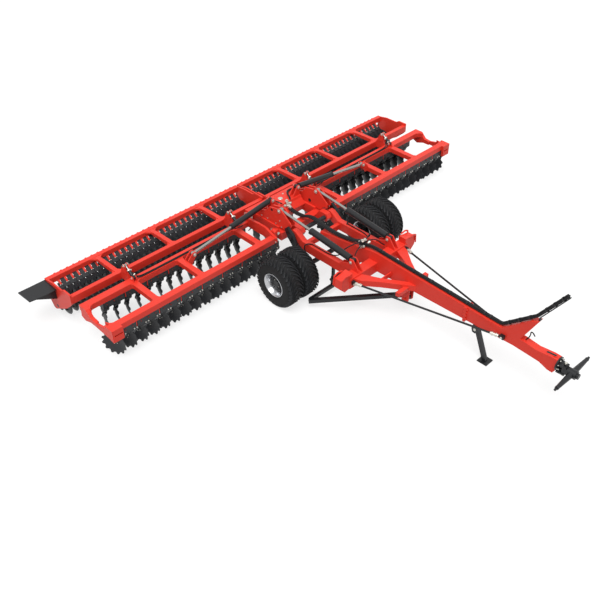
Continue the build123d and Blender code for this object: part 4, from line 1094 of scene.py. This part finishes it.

# %% [markdown]
# The other hoses are the same kind of line through other places, so they are rows of
# a table. Only the two that cross the fold hinge ride on no body. The rest ride on a body.

# %% Hoses on both sides
FOLD_ROUTE = ((80, 8060, 1150), (150, 8040, 1275), (260, 8330, 1290), (480, 8400, 1265),
    (700, 8420, 1190), (860, 8420, 1175), (1020, 8420, 1120), (1160, 8418, 1020),
    (1240, 8416, 1000))
SIDE_HOSES = (                                # name, body, radius in metres, route
    ("tilt_feed_{}", "chassis", 0.013, (
        (60, 5500, 1325), (150, 5520, 1380), (330, 5600, 1330), (470, 5700, 1230),
        (520, 5760, 1080), (560, 5860, 1030), (612, 5990, 1024), (617, 6300, 1024),
        (617, 6560, 1024))),
    ("tilt_return_{}", "chassis", 0.013, (
        (62, 5470, 1310), (190, 5430, 1350), (400, 5400, 1230), (470, 5330, 1120),
        (530, 5300, 1080))),
    ("wing_hose_{}", "wing_{}", 0.013, (
        (1236, 8416, 1000), (1300, 8412, 999), (1800, 8400, 996), (2500, 8395, 996),
        (3300, 8395, 996), (4000, 8398, 996), (4230, 8400, 1000), (4330, 8405, 1040),
        (4352, 8440, 1085))),
    ("wing_hose_b_{}", "wing_{}", 0.013, (
        (1236, 8450, 1000), (1300, 8450, 998), (1800, 8430, 996), (2500, 8425, 996),
        (3300, 8425, 996), (4000, 8430, 996), (4250, 8440, 1002), (4340, 8480, 1060),
        (4356, 8520, 1130))),
    ("depth_feed_{}", "wing_{}", 0.011, (
        (1236, 8440, 998), (1262, 8440, 1010), (1280, 8450, 1050), (1290, 8480, 1090))),
    ("fold_feed_{}", "wing_{}", 0.013, (
        (1240, 8330, 998), (1420, 8300, 1010), (1640, 8290, 1120), (1760, 8250, 1240),
        (1790, 8225, 1262))),
    ("arm_hose_{}", "axle_arms", 0.016, (
        (600, 6560, 1010), (690, 6600, 1060), (768, 6640, 1040), (768, 6660, 960),
        (768, 6640, 860), (768, 6560, 760))))
for side, s in SIDES:
    hinge_a, hinge_b = at(s * 800, 8300, 1060), at(s * 1010, 8300, 1060)
    for n, off in enumerate((0, 34)):
        hose("fold_hose_%s_%d" % (side, n), [at(s * x, y + off, h) for x, y, h in FOLD_ROUTE],
            0.013, across=("tool_frame", "wing_" + side, hinge_a, hinge_b))
    for name, body, radius, places in SIDE_HOSES:
        hose(name.format(side), [at(s * x, y, h) for x, y, h in places],
            radius, body.format(side))
print("hoses on a side", 2 + len(SIDE_HOSES))

# %% [markdown]
# The hydraulics meet in a few plated couplings, turned with one collar each: on the
# turret round a rotary manifold, and by the valve block.

# %% Couplings
coupling = lathe([(0.0, 0.0), (0.0, 0.62), (0.5, 0.62), (0.55, 1.0), (1.25, 1.0), (1.32, 0.9),
    (1.45, 0.9), (1.5, 0.7), (2.0, 0.66), (2.05, 0.5), (2.05, 0.0)], 14, axis=ALONG_Z)
cluster = [towards(at(x, y, h), way, size / 1000) for x, y, h, way, size in (
    (-62, 5500, 1240, (-1, -0.3, 0.1), 42), (-60, 5420, 1270, (-1, -0.2, 0.3), 34),
    (30, 5490, 1340, (0.1, 0, 1), 34), (-34, 5486, 1340, (-0.2, 0.1, 1), 36),
    (66, 5420, 1290, (1, -0.2, 0.5), 36), (64, 5510, 1290, (1, 0.2, 0.4), 34),
    (-30, 5550, 1300, (-0.1, 1, 0.1), 30), (30, 5550, 1300, (0.1, 1, 0.1), 30))]
repeat(coupling, cluster, "valve_couplings", "chassis", ZINC)
manifold = at(0, 8037, 1139)
joints = [towards(manifold + Vector(place), way, size) for place, way, size in (
    ((0, -0.02, -0.02), (0, 0, 1), 0.062), ((0, -0.05, 0.01), (0, -1, 0), 0.05),
    ((-0.05, 0.0, 0.03), (-1, 0, 0.2), 0.04), ((0.05, 0.0, 0.03), (1, 0, 0.2), 0.04),
    ((0, 0.02, 0.08), (0, 0, 1), 0.045))]
repeat(coupling, joints, "turret_manifold", "tool_frame", ZINC)
for side, s in SIDES:
    unions = []
    for x in (1330, 4400):
        unions += [towards(at(s * (x - 26), 8446, 1102), (-s * 0.9, 0, 0.5), 0.022),
            towards(at(s * (x - 22), 8556, 1160), (-s * 0.9, 0.1, 0.6), 0.02)]
    repeat(coupling, unions, "depth_unions_" + side, "depth_barrels_" + side, ZINC)
stand = plate([(-0.075, -0.09, 0), (0.075, -0.09, 0), (0.095, 0.05, 0), (0.05, 0.09, 0),
    (-0.05, 0.09, 0), (-0.095, 0.05, 0)], (0, 0, 0.09), 0.008)
repeat(stand, [moved(at(0, 8050, 1040))], "manifold_stand", "tool_frame", RED)
put_away(stand)
print("couplings", len(cluster) + len(joints))

# %% [markdown]
# Frames of rolled tube are stiffened where they meet: a gusset with a hollow edge
# rounds each inner corner. It is drawn in three sizes and mirrored to every corner.

# %% Corner gussets
def gusset(leg, thick):
    hollow = [(leg * (1 - math.sin(a)), leg * (1 - math.cos(a)), 0)
        for a in map(math.radians, range(0, 91, 15))]
    return plate([(0, 0, 0)] + hollow, (0, 0, -thick), 0.003)


def corner_at(x, y, height, dx, dy):
    return moved(at(x, y, height)) @ Matrix.Diagonal((dx, dy, 1, 1))


big, small, thin_big = gusset(0.16, 0.13), gusset(0.07, 0.13), gusset(0.17, 0.05)
frame_top, front_in, rear_in = 978, 7553, 8367         # inner faces of the wing's beams
for side, s in SIDES:
    low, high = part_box("disc_frame_" + side)
    end = max(abs(low[0]), abs(high[0])) * 1000 - 92
    beam_sides = ((front_in, 1), (rear_in, -1))
    ends = [corner_at(s * end, y, frame_top, -s, dy) for y, dy in beam_sides]
    crosses = [corner_at(s * (x + dx * 73), y, frame_top, s * dx, dy)
        for x in (4427, 3175, 1427) for dx in (-1, 1) for y, dy in beam_sides]
    rears = [corner_at(s * (x + dx * 53), y, height, s * dx, dy)
        for x in (4448, 2877, 1368) for dx in (-1, 1)
        for y, height, dy in ((9018, 925, 1), (9882, 893, -1))]
    for model, places, name, body in ((big, ends, "end_gussets_", "wing_"),
            (small, crosses, "cross_gussets_", "wing_"),
            (thin_big, rears, "roller_gussets_", "roller_frame_")):
        turn_outwards(repeat(model, places, name + side, body + side, RED))
    print(side, len(ends) + len(crosses) + len(rears), "gussets")
put_away(big, small, thin_big)

# %% [markdown]
# Small parts finish the drawbar: a hook of bent bar that parks the hose ends, a
# lifting slot with a welded rim in the head, whose opening is a black oval of painted
# shade, and bolts round the flange.

# %% Hook, slot and flange
hook_route = ((1100, 1137), (1056, 1200), (1020, 1310), (1030, 1385), (1000, 1400),
    (960, 1378), (925, 1335))
hose("hose_hook", [at(0, y, h) for y, h in hook_route], 0.013, "chassis", finish=black_paint)
slot_radius, slot_reach = 0.026, 0.085
oval = []
for degrees in (*range(0, 181, 30), *range(181, 360, 30)):
    turn = math.radians(degrees)
    oval.append((slot_radius * math.cos(turn),
        slot_radius * math.sin(turn) + (slot_reach if degrees <= 180 else -slot_reach), 0))
# The slot's opening is no hole: a thin black oval plate inside the rim is painted shade.
slot_shade_oval = plate(oval, (0, 0, 0.0015))
slot_rim = plate([(x * 1.5, y * 1.15, 0) for x, y, _ in oval], (0, 0, 0.006), 0.002)
slot_place = moved(at(0, 500, 1147)) @ turned(math.atan2(-40, 330), 4, "X")
repeat(slot_rim, [slot_place], "lifting_slot_rim", "chassis", RED)
repeat(slot_shade_oval, [slot_place @ moved((0, 0, 0.0055))], "lifting_slot",
    "chassis", ("dark_steel", black_paint))
put_away(slot_shade_oval, slot_rim)
flange_bolts = [facing(x, y, h, way, 30) for x in (-106, 106) for h in (900, 985, 1070, 1155)
    for y, way in ((2540, BACK), (2480, FRONT))]
repeat(bolt, flange_bolts, "flange_bolts", "chassis", RED)
print("flange bolts", len(flange_bolts))

# %% [markdown]
# Two stay rods brace the drawbar. A turnbuckle near each end sets their length, and
# pins hold their forks. Nuts and bolts show on the hitch pin, its ring and the jack.

# %% Stays, hitch and jack
turnbuckle = lathe([(-0.09, 0.024), (-0.09, 0.034), (-0.06, 0.036), (-0.055, 0.046),
    (-0.03, 0.046), (-0.025, 0.034), (0.025, 0.034), (0.03, 0.046),
    (0.055, 0.046), (0.06, 0.036), (0.09, 0.034), (0.09, 0.024)], 12, axis=ALONG_Z)
stays, clevises = [], []
for s in (-1, 1):
    rear, front = at(s * 925, 4940, 940), at(s * 134, 1560, 1000)
    way = (rear - front).normalized()
    stays += [towards(front + way * 0.16, way, 1), towards(rear - way * 0.12, way, 1)]
    clevises += heads_at(s * 925, 4895, 940, "x", 40, 26)
    clevises += heads_at(s * 134, 1550, 1000, "x", 40, 26)
repeat(turnbuckle, stays, "stay_turnbuckles", "chassis", ZINC)
repeat(pin_head, clevises, "stay_pins", "chassis", ZINC)
put_away(turnbuckle)
repeat(bolt, [facing(0, 170, 1096, TOP, 52), facing(0, 170, 824, UNDER, 52)],
    "hitch_pin_nuts", "chassis", ZINC)
ring_middle, ring_bolt = moved(at(0, 305, 1020)), (0.125, -0.03, 0)
ring_bolts = [ring_middle @ turned(math.radians(45 * n + 22), 4, "Y")
    @ moved(ring_bolt) @ FRONT @ sized(0.024, 4) for n in range(8)]
repeat(bolt, ring_bolts, "hitch_ring_bolts", "chassis", ZINC)
jack_plate = side_cut([(-0.085, 0.10), (0.06, 0.115), (0.085, 0.0), (0.055, -0.09),
    (-0.02, -0.10), (-0.095, -0.02)], 0.016)
repeat(jack_plate, [moved(at(x, 2215, 760)) for x in (-93.5, 93.5)],
    "jack_plates", "chassis", DARK)
put_away(jack_plate)
repeat(pin_head, heads_at(0, 2215, 760, "x", 101, 34), "jack_pin", "chassis", ZINC)
collars = [towards(Vector((s * 0.56, 0, soil + 0.96)), (s, 0, 0), 0.04) for s in (-1, 1)]
repeat(gland, collars, "hitch_end_collars", "cross_shaft", DARK)
print("stay fittings", len(stays), "ring bolts", len(ring_bolts))

# %% [markdown]
# The tool frame is a welded box of thick plates. Bushes, bolts and a cap show where
# the pins pass, and the wing knuckles have their greased pins.

# %% Turret and knuckles
bush = lathe([(0.0, 0.0), (0.0, 0.62), (0.10, 0.66), (0.10, 1.0), (0.0, 1.0)], 20, axis=ALONG_Z)
cap = lathe([(0.0, 0.0), (0.0, 1.0), (0.12, 1.0), (0.2, 0.9), (0.2, 0.0)], 20, axis=ALONG_Z)
horn_out, horn_in = 706, 554                  # the faces of the turret's horns
bushes = [facing(s * horn_out, 7845, 1438, OUTWARDS[s], 34) for s in (-1, 1)]
bushes += [facing(s * horn_in, 7800, 1170, INWARDS[s], 46) for s in (-1, 1)]
repeat(bush, bushes, "turret_bushes", "tool_frame", ("dark_steel", black_paint))
turret_bolts = []
for s in (-1, 1):
    for y, h in ((7500, 1100), (7560, 1250), (7700, 1120), (7990, 1130), (8200, 1120)):
        turret_bolts.append(facing(s * horn_out, y, h, OUTWARDS[s], 26))
    turret_bolts += [facing(s * x, y, 1240, TOP, 34) for x in (180, 330) for y in (8130, 8390)]
repeat(bolt, turret_bolts, "turret_bolts", "tool_frame", ZINC)
repeat(cap, [facing(0, 8290, 1240, TOP, 62)], "turret_cap", "tool_frame", ZINC)
for side, s in SIDES:
    knuckles = [head for y in (7530, 8490) for head in heads_at(s * 900, y, 1050, "y", 112, 40)]
    repeat(pin_head, knuckles, "knuckle_pins_" + side, "wing_" + side, ZINC)
    wing_bolts = [facing(s * 939, y, h, INWARDS[s], 28)
        for y, h in ((7680, 930), (7760, 905), (8250, 930))]
    wing_bolts += [facing(s * x, 7384, h, FRONT, 30) for x, h in ((965, 905), (1035, 885))]
    repeat(bolt, wing_bolts, "wing_bolts_" + side, "wing_" + side, ZINC)
put_away(bush, cap)
print("turret bolts", len(turret_bolts))

# %% [markdown]
# The catches at the ends of the cross head get rolled lips, drawn from the front and
# cut to a thickness.

# %% Catches
catch_lip = plate([(x, 0, z) for x, z in (
    (0.0, 0.0), (0.14, 0.02), (0.235, -0.025), (0.26, -0.24), (0.285, -0.235), (0.262, 0.0),
    (0.15, 0.048), (-0.01, 0.024))], (0, 0.03, 0), 0.003)
lip_places = [corner_at(s * 1030, y, 1178, s, 1) for s in (-1, 1) for y in (4960, 5200)]
turn_outwards(repeat(catch_lip, lip_places, "catch_lips", "chassis", RED))
put_away(catch_lip, bolt, pin_head, gland, coupling)
print("catch lips", len(lip_places))

# %% [markdown]
# The studio: a plain white floor under the wheels and a soft even light. The camera,
# reflections and clear pieces see pure white, while other rays see a grey floor, which
# keeps the machine's underside from glowing.

# %% Floor
def seen_white(tree):
    """One for the rays that have to see white, and none for all others."""
    rays = add_node(tree, "ShaderNodeLightPath")
    seen = rays.outputs["Is Camera Ray"]
    for kind in ("Is Glossy Ray", "Is Transmission Ray"):
        seen = add_node(tree, "ShaderNodeMath", {"operation": "MAXIMUM"},
            links=[(0, seen), (1, rays.outputs[kind])]).outputs[0]
    return seen


floor_drop, glow_share = 0.002, 0.72
bpy.ops.mesh.primitive_plane_add(size=120, location=(0, 5, cad_box[0][2] - floor_drop))
floor = bpy.context.object
floor.name = "floor"
floor_finish, tree, place, shader = new_finish("studio floor, matt white")
seen = seen_white(tree)
tone = add_node(tree, "ShaderNodeMix", {"data_type": "RGBA"}, links=[("Factor", seen)])
tone.inputs["A"].default_value = colour("8C8C8C")
tone.inputs["B"].default_value = colour("FFFFFF")
tree.links.new(tone.outputs["Result"], shader.inputs["Base Color"])
shader.inputs["Roughness"].default_value = 0.9
pure_white = {"Color": colour("FFFFFF"), "Strength": 1.0}
glow = add_node(tree, "ShaderNodeEmission", inputs=pure_white)
faded = add_node(tree, "ShaderNodeMath", {"operation": "MULTIPLY"}, {1: glow_share}, [(0, seen)])
mixed = add_node(tree, "ShaderNodeMixShader",
    links=[(0, faded.outputs[0]), (1, shader.outputs[0]), (2, glow.outputs[0])])
show(tree, mixed.outputs[0])
floor.data.materials.append(floor_finish)
print("floor at", round(floor.location.z, 4))

# %% [markdown]
# An even white sky fills the shadows, as a tent of white cloth would. On its own it
# would flatten the shapes, so one broad sun from the right front corner tells the
# upper faces from the sides.

# %% Light
world = bpy.data.worlds.new("studio")
bpy.context.scene.world = world
world.use_nodes = True
tree = world.node_tree
tree.nodes.clear()
soft = add_node(tree, "ShaderNodeBackground", inputs={**pure_white, "Strength": 0.66})
white = add_node(tree, "ShaderNodeBackground", inputs=pure_white)
mixed = add_node(tree, "ShaderNodeMixShader", links=[(0, seen_white(tree)),
    (1, soft.outputs["Background"]), (2, white.outputs["Background"])])
add_node(tree, "ShaderNodeOutputWorld", links=[("Surface", mixed.outputs["Shader"])])
bpy.ops.object.light_add(type="SUN", location=(-8, -6, 14))
sun = bpy.context.object
sun.data.energy = 2.3
sun.data.angle = math.radians(38)
sun.rotation_euler = (math.radians(14), math.radians(-20), 0)
bpy.context.scene.view_settings.view_transform = "Standard"
print("sun", sun.data.energy)
